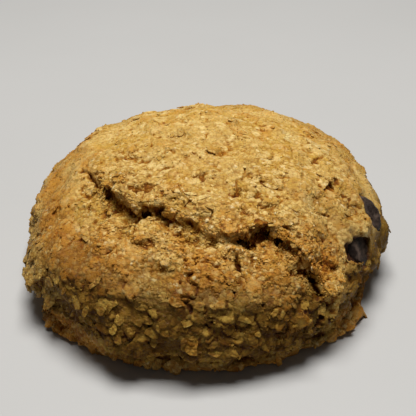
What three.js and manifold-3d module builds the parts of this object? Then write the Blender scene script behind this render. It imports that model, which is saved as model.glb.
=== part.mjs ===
// A thick oat cookie with chocolate chips. One domed dough solid, split by a baked fissure and
// rough with oat flakes that are fused to it, holds the chips that show at its surface.
// Millimetres, +Z up. The cookie stands on z = 0 with the middle of its box on the Z axis, and
// -Y is the front, where the fissure opens.

import * as THREE from 'three';
import { mergeVertices } from 'three/addons/utils/BufferGeometryUtils.js';
import { ImprovedNoise } from 'three/addons/math/ImprovedNoise.js';
import Module from 'manifold-3d';

const wasm = await Module();
wasm.setup();

// Driving dimensions of the dome
const DIAMETER = 80;
const HEIGHT = 28.7;
const EQUATOR_HEIGHT = 6.9;
const DOME_POWER = 2.05;

// The foot: the wall draws in below the equator, then spreads again into a thin toasted lip
const WAIST_RATIO = 0.905;
const WAIST_HEIGHT = 2.6;
const FOOT_RATIO = 0.915;
const FOOT_HEIGHT = 1.1;
const REST_RATIO = 0.84;
const BELOW_FLOOR = 1.5;

// The plan outline strays from a circle by these cosine and sine parts
const OUTLINE_WAVES = [
  { count: 2, cosine: -0.62, sine: 1.32 },
  { count: 3, cosine: -0.12, sine: -0.04 },
  { count: 4, cosine: -0.54, sine: -0.28 },
  { count: 5, cosine: 0.24, sine: 0.16 },
];

// Mesh fineness
const DOUGH_DETAIL = 14;
const PROFILE_STEPS = 240;
const BASE_SHARE_WEIGHT = 0.12;
const MERGE = 1e-4;
const WELD = 0.01;

// Uneven relief of the dough: each layer has a wavelength and a height
const RELIEF_LAYERS = [
  { wavelength: 15, height: 0.55 },
  { wavelength: 7, height: 1.15 },
  { wavelength: 4.2, height: 1.0 },
];
const LEDGE_RISE = 1.2;
const LEDGE_REACH = 8;
const LIP_DROP = 1.3;
const LIP_REACH = 6;

// Swells and hollows of the side, by bearing in degrees and height: rise is negative in a hollow
const SWELLS = [
  { bearing: -30, height: 6.5, rise: -3.2, spread: 5.5 },
  { bearing: -78, height: 4, rise: -0.7, spread: 6 },
  { bearing: -140, height: 5, rise: -0.8, spread: 6 },
  { bearing: -166, height: 6, rise: -0.9, spread: 6 },
  { bearing: 95, height: 4, rise: -1.2, spread: 9 },
  { bearing: 118, height: 23, rise: -1.0, spread: 5 },
  { bearing: -104, height: 17.5, rise: 0.9, spread: 7 },
  { bearing: -66, height: 16, rise: 0.9, spread: 6 },
  { bearing: 36, height: 17, rise: 1.1, spread: 8 },
  { bearing: 142, height: 19, rise: 0.9, spread: 7 },
  { bearing: 168, height: 14, rise: 0.6, spread: 6 },
];

// Where the thin foot lip spreads furthest out, by bearing and half span in degrees
const FOOT_SPREADS = [
  { bearing: -145, reach: 2.3, span: 15 },
  { bearing: -38, reach: 3.6, span: 17 },
  { bearing: -74, reach: 1.3, span: 18 },
  { bearing: 30, reach: 1.4, span: 18 },
  { bearing: 150, reach: 1.6, span: 22 },
];
const FOOT_SPREAD_HEIGHT = 2.4;

// Fissures run over plan points, and open towards the front or the foot of the dome
const FISSURES = [
  {
    path: [
      [-20.3, -10.6], [-18.2, -15.8], [-14.9, -19.6], [-10.2, -19.7], [-6.2, -22.4], [-1.6, -25.0],
      [3.2, -27.0], [7.6, -26.2], [11.2, -24.2], [15.1, -25.1], [18.4, -27.8], [21.8, -29.9],
    ],
    width: 3.2, depth: 5.4, lean: 30, jag: 1.1,
  },
  {
    path: [[-17.0, -26.3], [-12.6, -26.6], [-8.2, -25.7]],
    width: 1.5, depth: 2.6, lean: 30, jag: 0.4,
  },
  {
    path: [[4.6, -27.6], [5.8, -30.6], [6.4, -33.0], [7.4, -35.4]],
    width: 1.5, depth: 3.0, lean: 0, jag: 0.5,
  },
  {
    path: [[-27.6, 1.6], [-25.2, -4.6], [-20.8, -10.2]],
    width: 1.4, depth: 2.2, lean: 20, jag: 0.4,
  },
  {
    path: [[15.2, -15.4], [19.7, -14.7], [24.4, -10.0], [27.9, -2.0]],
    width: 1.3, depth: 2.2, lean: 20, jag: 0.4,
  },
  {
    path: [[-10.6, 26.2], [-3.0, 22.4], [5.6, 23.8], [13.2, 20.2]],
    width: 1.6, depth: 2.8, lean: 20, jag: 0.5,
  },
];
const FISSURE_STEPS = 18;
const FISSURE_ABOVE = 3;
const FISSURE_FLARE = 1.2;
const FISSURE_FLOOR_RATIO = 0.3;
const FISSURE_END_RATIO = 0.15;
const FISSURE_END_STEEPNESS = 5;
const JAG_WAVELENGTH = 2.3;
const JAG_SIDES_APART = 9;

// Rounded lobes of dough round the front chips, by bearing, height and half sizes across, up
// and outwards, and the dents beside them, which are cut the same way
const LOBES = [
  { bearing: 1, height: 14, across: 8, up: 5.6, out: 3.4, sink: 2.8 },
  { bearing: -9, height: 10.4, across: 4.8, up: 4.4, out: 3.4, sink: 2.3 },
  { bearing: -23, height: 11.6, across: 3.6, up: 4.8, out: 3, sink: 2.0 },
  { bearing: -11.6, height: 19.2, across: 3.9, up: 4.2, out: 2.3, sink: 1.2 },
  { bearing: -34.3, height: 18.9, across: 1.4, up: 2.1, out: 1.6, sink: 0.6 },
  { bearing: -27.9, height: 18.3, across: 1.4, up: 2, out: 1.6, sink: 0.6 },
  { bearing: -20.7, height: 17.4, across: 2.3, up: 2.6, out: 2.2, sink: 0.7 },
  { bearing: -37.2, height: 14.6, across: 3.4, up: 2.1, out: 2, sink: 1.1 },
];
const DENTS = [
  { bearing: -32.6, height: 16.1, across: 4.3, up: 2.7, out: 3.2, sink: 0.2 },
  { bearing: -11.8, height: 15.7, across: 4.2, up: 1.7, out: 2.6, sink: 0.3 },
];
const LOBE_DETAIL = 2;
const LOBE_ROUGHNESS = 0.35;

// Oat flakes fused to the dough
const FLAKE_COUNT = 68;
const FLAKE_SEED = 7;
const FLAKE_RADIUS = [1.5, 2.7];
const FLAKE_NARROWING = [0.62, 0.95];
const FLAKE_THICKNESS = 0.95;
const FLAKE_SIDES = 6;
const FLAKE_TILT = 20;
const FLAKE_SINK = 0.12;
const FLAKE_UNDERSIDE = 0.9;
const FLAKE_JITTER = 0.5;
const FLAKE_CHIP_GAP = 1;
const FLAKE_LOWEST_SHARE = 0.9;
const FLAKE_FISSURE_GAP = 2.4;

// Chocolate chips: a flat-based drop, lying where it shows at the surface. sink is how deep the
// drop's middle lies under the dough, and roll and pitch turn the drop from pointing outwards.
const CHIP_DIAMETER = 9.4;
const CHIP_HEIGHT = 6.6;
const CHIP_SIDES = 16;
const CHIP_SIDE_POINTS = 6;
const CHIP_PROFILE = [
  { ratio: 0.82, rise: 0 },
  { ratio: 1, rise: 0.16 },
  { ratio: 0.86, rise: 0.45 },
  { ratio: 0.46, rise: 0.78 },
  { ratio: 0.16, rise: 0.97 },
];
const CHIP_GAP = 0.3;
const CHIPS = [
  { name: 'chocolate_chip_1', bearing: -13.3, height: 16.9, sink: 3.5, pitch: 197, roll: 23 },
  { name: 'chocolate_chip_2', bearing: -30.5, height: 16.5, sink: 2.9, pitch: 183, roll: 0 },
  { name: 'chocolate_chip_3', bearing: 72, height: 12.5, sink: 2.7, pitch: 160, roll: 20 },
  { name: 'chocolate_chip_4', bearing: 126, height: 13, sink: 3, pitch: 195, roll: -10 },
];

const doughFinish = new THREE.MeshStandardMaterial({ color: 0xb98a45, roughness: 0.9, metalness: 0 });
const chocolateFinish = new THREE.MeshStandardMaterial({ color: 0x2b1c15, roughness: 0.45, metalness: 0 });

const UP = new THREE.Vector3(0, 0, 1);
const GOLDEN_ANGLE = Math.PI * (3 - Math.sqrt(5));
const NORMAL_STEP = 0.004;
const perlin = new ImprovedNoise();
const radians = THREE.MathUtils.degToRad;

// Smooth noise of about -1 to 1 at a point, for one wavelength
function noiseAt(point, wavelength) {
  return perlin.noise(point.x / wavelength, point.y / wavelength, point.z / wavelength);
}

// A seeded source of numbers from 0 to 1
function seededRandom(seed) {
  let state = seed;
  return () => {
    state = (state * 1664525 + 1013904223) % 4294967296;
    return state / 4294967296;
  };
}

function between(range, share) {
  return range[0] + (range[1] - range[0]) * share;
}

function outlineRadius(bearing) {
  const waves = OUTLINE_WAVES.map(
    (wave) => wave.cosine * Math.cos(wave.count * bearing) + wave.sine * Math.sin(wave.count * bearing),
  );
  return waves.reduce((sum, wave) => sum + wave, DIAMETER / 2);
}

// The dome's profile from its top to the middle of its underside: points of radius ratio and height
function domeProfile() {
  const points = [];
  for (let i = 0; i <= PROFILE_STEPS; i++) {
    const angle = (Math.PI / 2) * (i / PROFILE_STEPS);
    const ratio = Math.sin(angle) ** (2 / DOME_POWER);
    const rise = Math.cos(angle) ** (2 / DOME_POWER);
    points.push(new THREE.Vector2(ratio, EQUATOR_HEIGHT + (HEIGHT - EQUATOR_HEIGHT) * rise));
  }
  const side = new THREE.SplineCurve([
    new THREE.Vector2(1, EQUATOR_HEIGHT),
    new THREE.Vector2((1 + WAIST_RATIO) / 2, (EQUATOR_HEIGHT + WAIST_HEIGHT) / 2),
    new THREE.Vector2(WAIST_RATIO, WAIST_HEIGHT),
    new THREE.Vector2(FOOT_RATIO, FOOT_HEIGHT),
    new THREE.Vector2(REST_RATIO, -BELOW_FLOOR),
  ]);
  points.push(...side.getPoints(PROFILE_STEPS / 4).slice(1), new THREE.Vector2(0, -BELOW_FLOOR));
  return points;
}

// The profile with the share of the whole surface above each point, the underside counting little
function measuredProfile() {
  const points = domeProfile();
  const shares = [0];
  for (let i = 1; i < points.length; i++) {
    const weight = i === points.length - 1 ? BASE_SHARE_WEIGHT : 1;
    const length = new THREE.Vector2(
      (points[i].x - points[i - 1].x) * (DIAMETER / 2),
      points[i].y - points[i - 1].y,
    ).length();
    shares.push(shares[i - 1] + weight * length * (points[i].x + points[i - 1].x));
  }
  return points.map((point, i) => ({ ratio: point.x, height: point.y, share: shares[i] / shares.at(-1) }));
}

const PROFILE = measuredProfile();

// The first place down the profile where its share, ratio or height reaches a value
function profileWhere(key, value) {
  const falling = key === 'height';
  const i = PROFILE.findIndex((point, n) => n > 0 && (falling ? point[key] <= value : point[key] >= value));
  const [a, b] = i < 0 ? [PROFILE.at(-1), PROFILE.at(-1)] : [PROFILE[i - 1], PROFILE[i]];
  const part = b[key] === a[key] ? 0 : (value - a[key]) / (b[key] - a[key]);
  return {
    ratio: a.ratio + (b.ratio - a.ratio) * part,
    height: a.height + (b.height - a.height) * part,
    share: a.share + (b.share - a.share) * part,
  };
}

// A bell that falls from 1 at no distance to 0 beyond its reach
function fade(distance, reach) {
  return Math.exp(-((distance / reach) ** 2));
}

// How far the foot lip reaches out of the plan outline at a bearing and height
function footSpread(bearing, height) {
  const spreads = FOOT_SPREADS.map((spread) => {
    const turn = bearing - radians(spread.bearing);
    const apart = Math.atan2(Math.sin(turn), Math.cos(turn));
    return spread.reach * fade(apart, radians(spread.span));
  });
  return Math.max(...spreads) * fade(height, FOOT_SPREAD_HEIGHT);
}

// A point of the smooth dome
function smoothPoint(bearing, share) {
  const at = profileWhere('share', THREE.MathUtils.clamp(share, 0, 1));
  const radius = (outlineRadius(bearing) + footSpread(bearing, at.height)) * at.ratio;
  return new THREE.Vector3(radius * Math.cos(bearing), radius * Math.sin(bearing), at.height);
}

// The outward direction of the smooth dome
function smoothNormal(bearing, share) {
  const at = THREE.MathUtils.clamp(share, 2 * NORMAL_STEP, 1 - 2 * NORMAL_STEP);
  const along = smoothPoint(bearing + NORMAL_STEP, at).sub(smoothPoint(bearing - NORMAL_STEP, at));
  const down = smoothPoint(bearing, at + NORMAL_STEP).sub(smoothPoint(bearing, at - NORMAL_STEP));
  return down.cross(along).normalize();
}

// Signed distance in plan from a fissure's path: positive on the side towards the back
function planDistance(fissure, x, y) {
  let nearest = { distance: Infinity, sign: 1 };
  for (let i = 1; i < fissure.path.length; i++) {
    const [ax, ay] = fissure.path[i - 1];
    const [bx, by] = fissure.path[i];
    const length2 = (bx - ax) ** 2 + (by - ay) ** 2;
    const part = THREE.MathUtils.clamp(((x - ax) * (bx - ax) + (y - ay) * (by - ay)) / length2, 0, 1);
    const distance = Math.hypot(x - ax - part * (bx - ax), y - ay - part * (by - ay));
    const sign = Math.sign((bx - ax) * (y - ay) - (by - ay) * (x - ax));
    if (distance < nearest.distance) nearest = { distance, sign };
  }
  return nearest.sign * nearest.distance;
}

// How far the rough dough stands out of the smooth dome
function relief(point) {
  let height = 0;
  for (const layer of RELIEF_LAYERS) height += layer.height * noiseAt(point, layer.wavelength);
  if (point.z > EQUATOR_HEIGHT) {
    const distance = planDistance(FISSURES[0], point.x, point.y);
    height += distance > 0
      ? LEDGE_RISE * fade(distance, LEDGE_REACH)
      : -LIP_DROP * fade(distance, LIP_REACH);
  }
  for (const swell of SWELLS) {
    const bearing = radians(swell.bearing);
    const radius = outlineRadius(bearing) * profileWhere('height', swell.height).ratio;
    const middle = new THREE.Vector3(radius, 0, swell.height).applyAxisAngle(UP, bearing);
    height += swell.rise * fade(point.distanceTo(middle), swell.spread);
  }
  return height;
}

// A point of the rough dough, with its outward direction
function doughPoint(bearing, share) {
  const smooth = smoothPoint(bearing, share);
  const normal = smoothNormal(bearing, share);
  return { position: smooth.clone().addScaledVector(normal, relief(smooth)), normal };
}

// The rough dough at a bearing and a height of the side, or over a point of the plan
function doughAtHeight(bearing, height) {
  return doughPoint(bearing, profileWhere('height', height).share);
}

function doughOver(x, y) {
  const bearing = Math.atan2(y, x);
  const ratio = Math.min(Math.hypot(x, y) / outlineRadius(bearing), 0.999);
  return doughPoint(bearing, profileWhere('ratio', ratio).share);
}

// Geometry to solid and back
function strip(geometry) {
  geometry.deleteAttribute('normal');
  geometry.deleteAttribute('uv');
  return geometry;
}

function toSolid(geometry) {
  const merged = mergeVertices(strip(geometry), MERGE);
  return new wasm.Manifold(
    new wasm.Mesh({
      numProp: 3,
      vertProperties: new Float32Array(merged.attributes.position.array),
      triVerts: new Uint32Array(merged.index.array),
    }),
  );
}

// A solid's geometry, its slivers closed up: points nearer than WELD become one, and triangles
// that this flattens, or folds onto each other, go
function toGeometry(solid) {
  const mesh = solid.getMesh();
  const sharp = new THREE.BufferGeometry();
  sharp.setAttribute('position', new THREE.BufferAttribute(new Float32Array(mesh.vertProperties), 3));
  sharp.setIndex(new THREE.BufferAttribute(new Uint32Array(mesh.triVerts), 1));
  const geometry = mergeVertices(sharp, WELD);
  const triangles = new Map();
  for (let i = 0; i < geometry.index.count; i += 3) {
    const corners = [0, 1, 2].map((n) => geometry.index.getX(i + n));
    if (new Set(corners).size < 3) continue;
    const key = corners.toSorted((a, b) => a - b).join(' ');
    if (!triangles.delete(key)) triangles.set(key, corners);
  }
  geometry.setIndex([...triangles.values()].flat());
  geometry.computeVertexNormals();
  return geometry;
}

// Moves every vertex of a geometry by a function of its place
function reshape(geometry, move) {
  const positions = geometry.attributes.position;
  const point = new THREE.Vector3();
  for (let i = 0; i < positions.count; i++) {
    point.fromBufferAttribute(positions, i);
    const moved = move(point);
    positions.setXYZ(i, moved.x, moved.y, moved.z);
  }
  return geometry;
}

function unitBall(detail) {
  return mergeVertices(strip(new THREE.IcosahedronGeometry(1, detail)), MERGE);
}

// The dome: a ball whose points are spread over the profile by area, then roughened
function domeSolid() {
  const ball = unitBall(DOUGH_DETAIL);
  reshape(ball, (point) => {
    const share = (1 - THREE.MathUtils.clamp(point.z / point.length(), -1, 1)) / 2;
    return doughPoint(Math.atan2(point.y, point.x), share).position;
  });
  return toSolid(ball);
}

// A lobe: a lumpy ellipsoid set into the side
function lobeSolid(lobe) {
  const bearing = radians(lobe.bearing);
  const { position, normal } = doughAtHeight(bearing, lobe.height);
  const middle = position.clone().addScaledVector(normal, -lobe.sink);
  const across = new THREE.Vector3().crossVectors(UP, normal).normalize();
  const rise = new THREE.Vector3().crossVectors(normal, across);
  const ball = unitBall(LOBE_DETAIL);
  reshape(ball, (point) => {
    const placed = middle.clone()
      .addScaledVector(across, point.x * lobe.across)
      .addScaledVector(rise, point.y * lobe.up)
      .addScaledVector(normal, point.z * lobe.out);
    const rough = LOBE_ROUGHNESS * noiseAt(placed, RELIEF_LAYERS.at(-1).wavelength);
    return placed.addScaledVector(normal, rough);
  });
  return toSolid(ball);
}

// A fissure: a jagged wedge along its path that leans in under the far side. The bar's own z runs
// from the floor of the fissure, through its mouth at 0, to clear of the dough.
function fissureSolid(fissure) {
  const samples = fissure.path.map(([x, y]) => doughOver(x, y).position);
  const curve = new THREE.CatmullRomCurve3(samples);
  const lean = radians(fissure.lean);
  const bar = strip(new THREE.BoxGeometry(1, 1, 2, FISSURE_STEPS, 1, 2));
  reshape(bar, (point) => {
    const along = point.x + 0.5;
    const middle = curve.getPointAt(along);
    const { normal } = doughOver(middle.x, middle.y);
    const across = new THREE.Vector3().crossVectors(normal, curve.getTangentAt(along)).normalize();
    const toEnd = Math.min(along, 1 - along);
    const taper = Math.min(1, FISSURE_END_RATIO + FISSURE_END_STEEPNESS * toEnd);
    const jagged = noiseAt(middle.clone().addScaledVector(across, JAG_SIDES_APART * point.y), JAG_WAVELENGTH);
    const inwards = normal.clone().multiplyScalar(-Math.cos(lean)).addScaledVector(across, Math.sin(lean));
    const open = [FISSURE_FLOOR_RATIO, 1, FISSURE_FLARE][Math.round(point.z) + 1];
    middle.addScaledVector(across, point.y * fissure.width * taper * open + fissure.jag * jagged);
    if (point.z > 0) return middle.addScaledVector(normal, FISSURE_ABOVE * point.z);
    return middle.addScaledVector(inwards, -point.z * fissure.depth * taper);
  });
  return toSolid(bar);
}

// Where each chip lies, as a matrix from the drop's own frame
function chipMatrix(chip) {
  const { position, normal } = doughAtHeight(radians(chip.bearing), chip.height);
  const lie = new THREE.Euler(radians(chip.pitch), radians(chip.roll), 0);
  const turn = new THREE.Quaternion().setFromUnitVectors(UP, normal);
  turn.multiply(new THREE.Quaternion().setFromEuler(lie));
  const middle = position.clone().addScaledVector(normal, -chip.sink);
  return new THREE.Matrix4().compose(middle, turn, new THREE.Vector3(1, 1, 1));
}

// A chip's drop, centred on its own middle, grown all round by a margin
function chipGeometry(margin) {
  const height = CHIP_HEIGHT + 2 * margin;
  const side = new THREE.SplineCurve(CHIP_PROFILE.map(({ ratio, rise }) => new THREE.Vector2(
    ratio * (CHIP_DIAMETER / 2) + margin,
    height * (rise - 0.5),
  )));
  const outline = [
    new THREE.Vector2(0, -height / 2),
    ...side.getPoints(CHIP_SIDE_POINTS),
    new THREE.Vector2(0, height / 2),
  ];
  return new THREE.LatheGeometry(outline, CHIP_SIDES).rotateX(Math.PI / 2);
}

// The oat flakes, spread evenly over the dome by a golden spiral, clear of fissures and chips
function flakeSolids(chipMiddles) {
  const random = seededRandom(FLAKE_SEED);
  const flakes = [];
  for (let i = 0; i < FLAKE_COUNT; i++) {
    const share = ((i + FLAKE_JITTER * random()) / FLAKE_COUNT) * FLAKE_LOWEST_SHARE;
    const bearing = i * GOLDEN_ANGLE + FLAKE_JITTER * (random() - 0.5);
    const radius = between(FLAKE_RADIUS, random());
    const narrow = between(FLAKE_NARROWING, random());
    const lean = radians(FLAKE_TILT) * (2 * random() - 1);
    const leanTowards = 2 * Math.PI * random();
    const { position, normal } = doughPoint(bearing, share);
    const nearFissure = FISSURES.some(
      (fissure) => Math.abs(planDistance(fissure, position.x, position.y)) < FLAKE_FISSURE_GAP,
    );
    const chipReach = CHIP_DIAMETER / 2 + radius + FLAKE_CHIP_GAP;
    const nearChip = chipMiddles.some((middle) => middle.distanceTo(position) < chipReach);
    if (nearFissure || nearChip || position.z < FLAKE_RADIUS[1]) continue;
    const disc = new THREE.CylinderGeometry(radius, radius * FLAKE_UNDERSIDE, FLAKE_THICKNESS, FLAKE_SIDES)
      .scale(1, 1, narrow)
      .rotateX(Math.PI / 2)
      .rotateZ(leanTowards)
      .rotateX(lean)
      .applyQuaternion(new THREE.Quaternion().setFromUnitVectors(UP, normal))
      .translate(...position.addScaledVector(normal, -FLAKE_SINK).toArray());
    flakes.push(toSolid(disc));
  }
  return flakes;
}

// Everything under the floor
function floorSolid() {
  const depth = 4 * BELOW_FLOOR;
  return toSolid(new THREE.BoxGeometry(2 * DIAMETER, 2 * DIAMETER, depth).translate(0, 0, -depth / 2));
}

function cookieSolid(chipMatrices) {
  let dough = LOBES.reduce((solid, lobe) => solid.add(lobeSolid(lobe)), domeSolid());
  dough = DENTS.reduce((solid, dent) => solid.subtract(lobeSolid(dent)), dough);
  dough = FISSURES.reduce((solid, fissure) => solid.subtract(fissureSolid(fissure)), dough);
  const middles = chipMatrices.map((matrix) => new THREE.Vector3().setFromMatrixPosition(matrix));
  dough = flakeSolids(middles).reduce((solid, flake) => solid.add(flake), dough);
  for (const matrix of chipMatrices) {
    dough = dough.subtract(toSolid(chipGeometry(CHIP_GAP).applyMatrix4(matrix)));
  }
  return dough.subtract(floorSolid());
}

// The cookie and its chips, set with the middle of their box on the Z axis
function cookieGroup() {
  const matrices = CHIPS.map(chipMatrix);
  const cookie = new THREE.Mesh(toGeometry(cookieSolid(matrices)), doughFinish);
  cookie.name = 'cookie';
  const pieces = new THREE.Group().add(cookie);
  CHIPS.forEach((chip, i) => {
    const mesh = new THREE.Mesh(chipGeometry(0), chocolateFinish.clone());
    mesh.name = chip.name;
    mesh.applyMatrix4(matrices[i]);
    pieces.add(mesh);
  });
  const middle = new THREE.Box3().setFromObject(pieces, true).getCenter(new THREE.Vector3());
  pieces.children.forEach((mesh) => mesh.position.sub(new THREE.Vector3(middle.x, middle.y, 0)));
  return pieces;
}

const group = cookieGroup();

export default group;
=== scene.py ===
"""Looks of a thick chocolate chip oat cookie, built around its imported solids."""

import itertools
import logging
import math
from dataclasses import dataclass, field
from enum import Enum
from typing import ClassVar

import bmesh
import bpy
import numpy as np
from mathutils import Matrix, Vector
from mathutils.bvhtree import BVHTree
from mathutils.kdtree import KDTree


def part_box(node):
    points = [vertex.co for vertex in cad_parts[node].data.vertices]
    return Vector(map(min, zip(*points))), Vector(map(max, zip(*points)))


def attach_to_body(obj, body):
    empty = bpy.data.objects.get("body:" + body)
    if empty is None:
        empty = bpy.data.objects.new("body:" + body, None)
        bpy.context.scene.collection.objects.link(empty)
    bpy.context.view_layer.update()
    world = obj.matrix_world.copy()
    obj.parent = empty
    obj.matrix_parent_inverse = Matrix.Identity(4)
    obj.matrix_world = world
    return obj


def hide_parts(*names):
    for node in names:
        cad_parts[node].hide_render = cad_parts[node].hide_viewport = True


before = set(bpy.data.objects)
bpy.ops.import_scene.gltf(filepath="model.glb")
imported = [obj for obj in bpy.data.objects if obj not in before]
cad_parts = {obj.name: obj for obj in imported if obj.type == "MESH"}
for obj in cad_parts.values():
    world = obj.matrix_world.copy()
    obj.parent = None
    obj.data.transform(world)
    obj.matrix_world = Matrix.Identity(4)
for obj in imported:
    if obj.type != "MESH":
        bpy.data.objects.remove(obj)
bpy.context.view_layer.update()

MM = 0.001
BODY = "root"
LOG = logging.getLogger("cookie")

JOIN_DISTANCE = 0.001
FULL_TURN = 6.28
LEAST_WEIGHT = 1e-9
FLOOR_GAP = 0.05

Array = np.ndarray
Draws = np.random.Generator
Bmesh = bmesh.types.BMesh
Mesh = bpy.types.Mesh
Piece = bpy.types.Object
Material = bpy.types.Material
Socket = bpy.types.NodeSocket
Colour = tuple[float, float, float]
Point = tuple[float, float, float]
Limits = tuple[float, float]
Span = tuple[float, float, float, float]
Path = tuple[tuple[float, float], ...]
Facet = tuple[Point, float]


class Slot(Enum):
    """The record's material slots."""

    DOUGH = "dough"
    CHOCOLATE = "chocolate"


class Mark(Enum):
    """Names of the per-vertex marks that the finishes read."""

    FLAKE = "flake"
    TONE = "tone"
    TOAST = "toast"
    PIT = "pit"
    CRUMB = "crumb"
    STAIN = "stain"
    SHADE = "shade"
    GRAIN = "grain"


class Work(Enum):
    """Ways to work out one value from two."""

    ADD = "ADD"
    SUBTRACT = "SUBTRACT"
    MULTIPLY = "MULTIPLY"
    SCALE = "SCALE"


class Blend(Enum):
    """Ways to lay one colour on another."""

    MIX = "MIX"
    MULTIPLY = "MULTIPLY"


# Noise

CELL_FACTORS = (0x8DA6B343, 0xD8163841, 0xCB1AB31F)
SEED_FACTOR = 0x9E3779B1
SCATTER_ROUNDS = ((16, 0x7FEB352D), (15, 0x846CA68B))
LAST_SHIFT = 16
WORD = 2**32
SWELL_GAIN = 1.7


def hashed(cells: Array, seed: int) -> Array:
    """Draws an even number from 0 to 1 for each whole-number cell.

    Args:
        cells: Cell corners, three whole numbers each.
        seed: Which set of draws to give.

    Returns:
        One number for each cell.
    """
    corners = cells.astype(np.int64).astype(np.uint32)
    bits = np.full(corners.shape[:-1], (seed * SEED_FACTOR) % WORD, np.uint32)
    for k, factor in enumerate(CELL_FACTORS):
        bits ^= corners[..., k] * np.uint32(factor)
    for shift, factor in SCATTER_ROUNDS:
        bits ^= bits >> np.uint32(shift)
        bits *= np.uint32(factor)
    bits ^= bits >> np.uint32(LAST_SHIFT)
    return bits.astype(np.float64) / WORD


def swell(points: Array, wavelength: float, seed: int) -> Array:
    """Smooth noise of about -1 to 1 at each point.

    Args:
        points: Places in millimetres.
        wavelength: Size of one rise and fall in millimetres.
        seed: Which noise to give.

    Returns:
        One height for each point.
    """
    p = points / wavelength
    base = np.floor(p)
    part = p - base
    ease = part**3 * (part * (part * 6 - 15) + 10)
    total = np.zeros(len(p))
    for corner in itertools.product((0, 1), repeat=3):
        at = np.array(corner)
        slope = np.stack([hashed(base + at, 3 * seed + k) for k in range(3)], axis=1) * 2 - 1
        weight = np.prod(np.where(at, ease, 1 - ease), axis=1)
        total += weight * ((part - at) * slope).sum(axis=1)
    return SWELL_GAIN * total


def grains(points: Array, size: float, seed: int) -> tuple[Array, Array, Array]:
    """Finds the nearest of a set of scattered grains to each point.

    Args:
        points: Places in millimetres.
        size: Mean distance between grains in millimetres.
        seed: Which set of grains to give.

    Returns:
        The distance to the nearest grain and to the next one, in grain sizes, and a number from
        0 to 1 that belongs to the nearest grain.
    """
    p = points / size
    base = np.floor(p)
    first = np.full(len(p), np.inf)
    second = np.full(len(p), np.inf)
    draw = np.zeros(len(p))
    for offset in itertools.product((-1, 0, 1), repeat=3):
        cell = base + np.array(offset)
        site = cell + np.stack([hashed(cell, 5 * seed + k) for k in range(3)], axis=1)
        distance = np.linalg.norm(p - site, axis=1)
        nearer = distance < first
        second = np.where(nearer, first, np.minimum(second, distance))
        draw = np.where(nearer, hashed(cell, 5 * seed + 4), draw)
        first = np.where(nearer, distance, first)
    return first, second, draw


def ramp(values: Array, low: float, high: float) -> Array:
    """Eases values from 0 at low to 1 at high."""
    t = np.clip((values - low) / (high - low), 0, 1)
    return t * t * (3 - 2 * t)


def path_distance(points: Array, path: Path) -> Array:
    """Plan distance in millimetres from each point to a path of plan points.

    Args:
        points: Places in millimetres.
        path: The path's plan points in millimetres.

    Returns:
        One distance for each point.
    """
    best = np.full(len(points), np.inf)
    for start, end in zip(path, path[1:]):
        a, run = np.array(start), np.subtract(end, start)
        part = np.clip(((points[:, :2] - a) @ run) / (run @ run), 0, 1)
        best = np.minimum(best, np.linalg.norm(points[:, :2] - a - part[:, None] * run, axis=1))
    return best


def bearing_of(places: Array) -> Array:
    """Bearing of each place round the cookie's middle, in degrees."""
    return np.degrees(np.arctan2(places[:, 1], places[:, 0]))


# Meshes


def merged_copy(node: str) -> Bmesh:
    """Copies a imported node's mesh with its loose triangles joined.

    Args:
        node: The node's name.

    Returns:
        The copy, in metres.
    """
    made = bmesh.new()
    made.from_mesh(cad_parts[node].data)
    bmesh.ops.remove_doubles(made, verts=made.verts, dist=JOIN_DISTANCE * MM)
    return made


def chip_nodes() -> list[str]:
    """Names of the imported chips, in order."""
    return sorted(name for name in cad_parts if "chip" in name)


def middle_of(made: Bmesh) -> Vector:
    """Mean of a bmesh's vertices, in metres."""
    return sum((v.co for v in made.verts), Vector()) / len(made.verts)


def smooth(made: Bmesh, verts: list[bmesh.types.BMVert], factor: float) -> None:
    """Draws some of a bmesh's vertices towards their neighbours."""
    bmesh.ops.smooth_vert(made, verts=verts, factor=factor,
                          use_axis_x=True, use_axis_y=True, use_axis_z=True)


def mesh_of(name: str, made: Bmesh) -> Mesh:
    """Turns a bmesh into a mesh, and frees it.

    Args:
        name: The mesh's name.
        made: The bmesh.

    Returns:
        The mesh.
    """
    mesh = bpy.data.meshes.new(name)
    made.to_mesh(mesh)
    made.free()
    return mesh


def object_of(name: str, mesh: Mesh) -> Piece:
    """Links a mesh into the scene as an object at the origin.

    Args:
        name: The object's name.
        mesh: Its mesh.

    Returns:
        The object.
    """
    made = bpy.data.objects.new(name, mesh)
    bpy.context.scene.collection.objects.link(made)
    return made


def applied(holder: Piece) -> Mesh:
    """Makes a mesh of an object with its modifiers applied, and removes the object.

    Args:
        holder: The object.

    Returns:
        The mesh.
    """
    solved = holder.evaluated_get(bpy.context.evaluated_depsgraph_get())
    mesh = bpy.data.meshes.new_from_object(solved)
    bpy.data.objects.remove(holder)
    return mesh


def numbers_of(items: bpy.types.bpy_prop_collection, key: str, width: int) -> Array:
    """Reads a row of numbers from each item of a mesh.

    Args:
        items: The items, such as a mesh's vertices.
        key: What is read of each item.
        width: How many numbers that is.

    Returns:
        One row for each item.
    """
    flat = np.empty(len(items) * width, np.float32)
    items.foreach_get(key, flat)
    return flat.reshape(-1, width).astype(np.float64)


def places_of(mesh: Mesh) -> Array:
    """A mesh's vertex places in millimetres."""
    return numbers_of(mesh.vertices, "co", 3) / MM


def normals_of(mesh: Mesh) -> Array:
    """A mesh's vertex normals."""
    return numbers_of(mesh.vertex_normals, "vector", 3)


def move_to(mesh: Mesh, places: Array) -> None:
    """Moves a mesh's vertices to new places, given in millimetres."""
    mesh.vertices.foreach_set("co", (places * MM).astype(np.float32).ravel())
    mesh.update()


def above_floor(places: Array) -> Array:
    """Lifts places that lie too low to just over the underside. Millimetres."""
    return np.concatenate([places[..., :2], np.maximum(places[..., 2:], FLOOR_GAP)], axis=-1)


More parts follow.
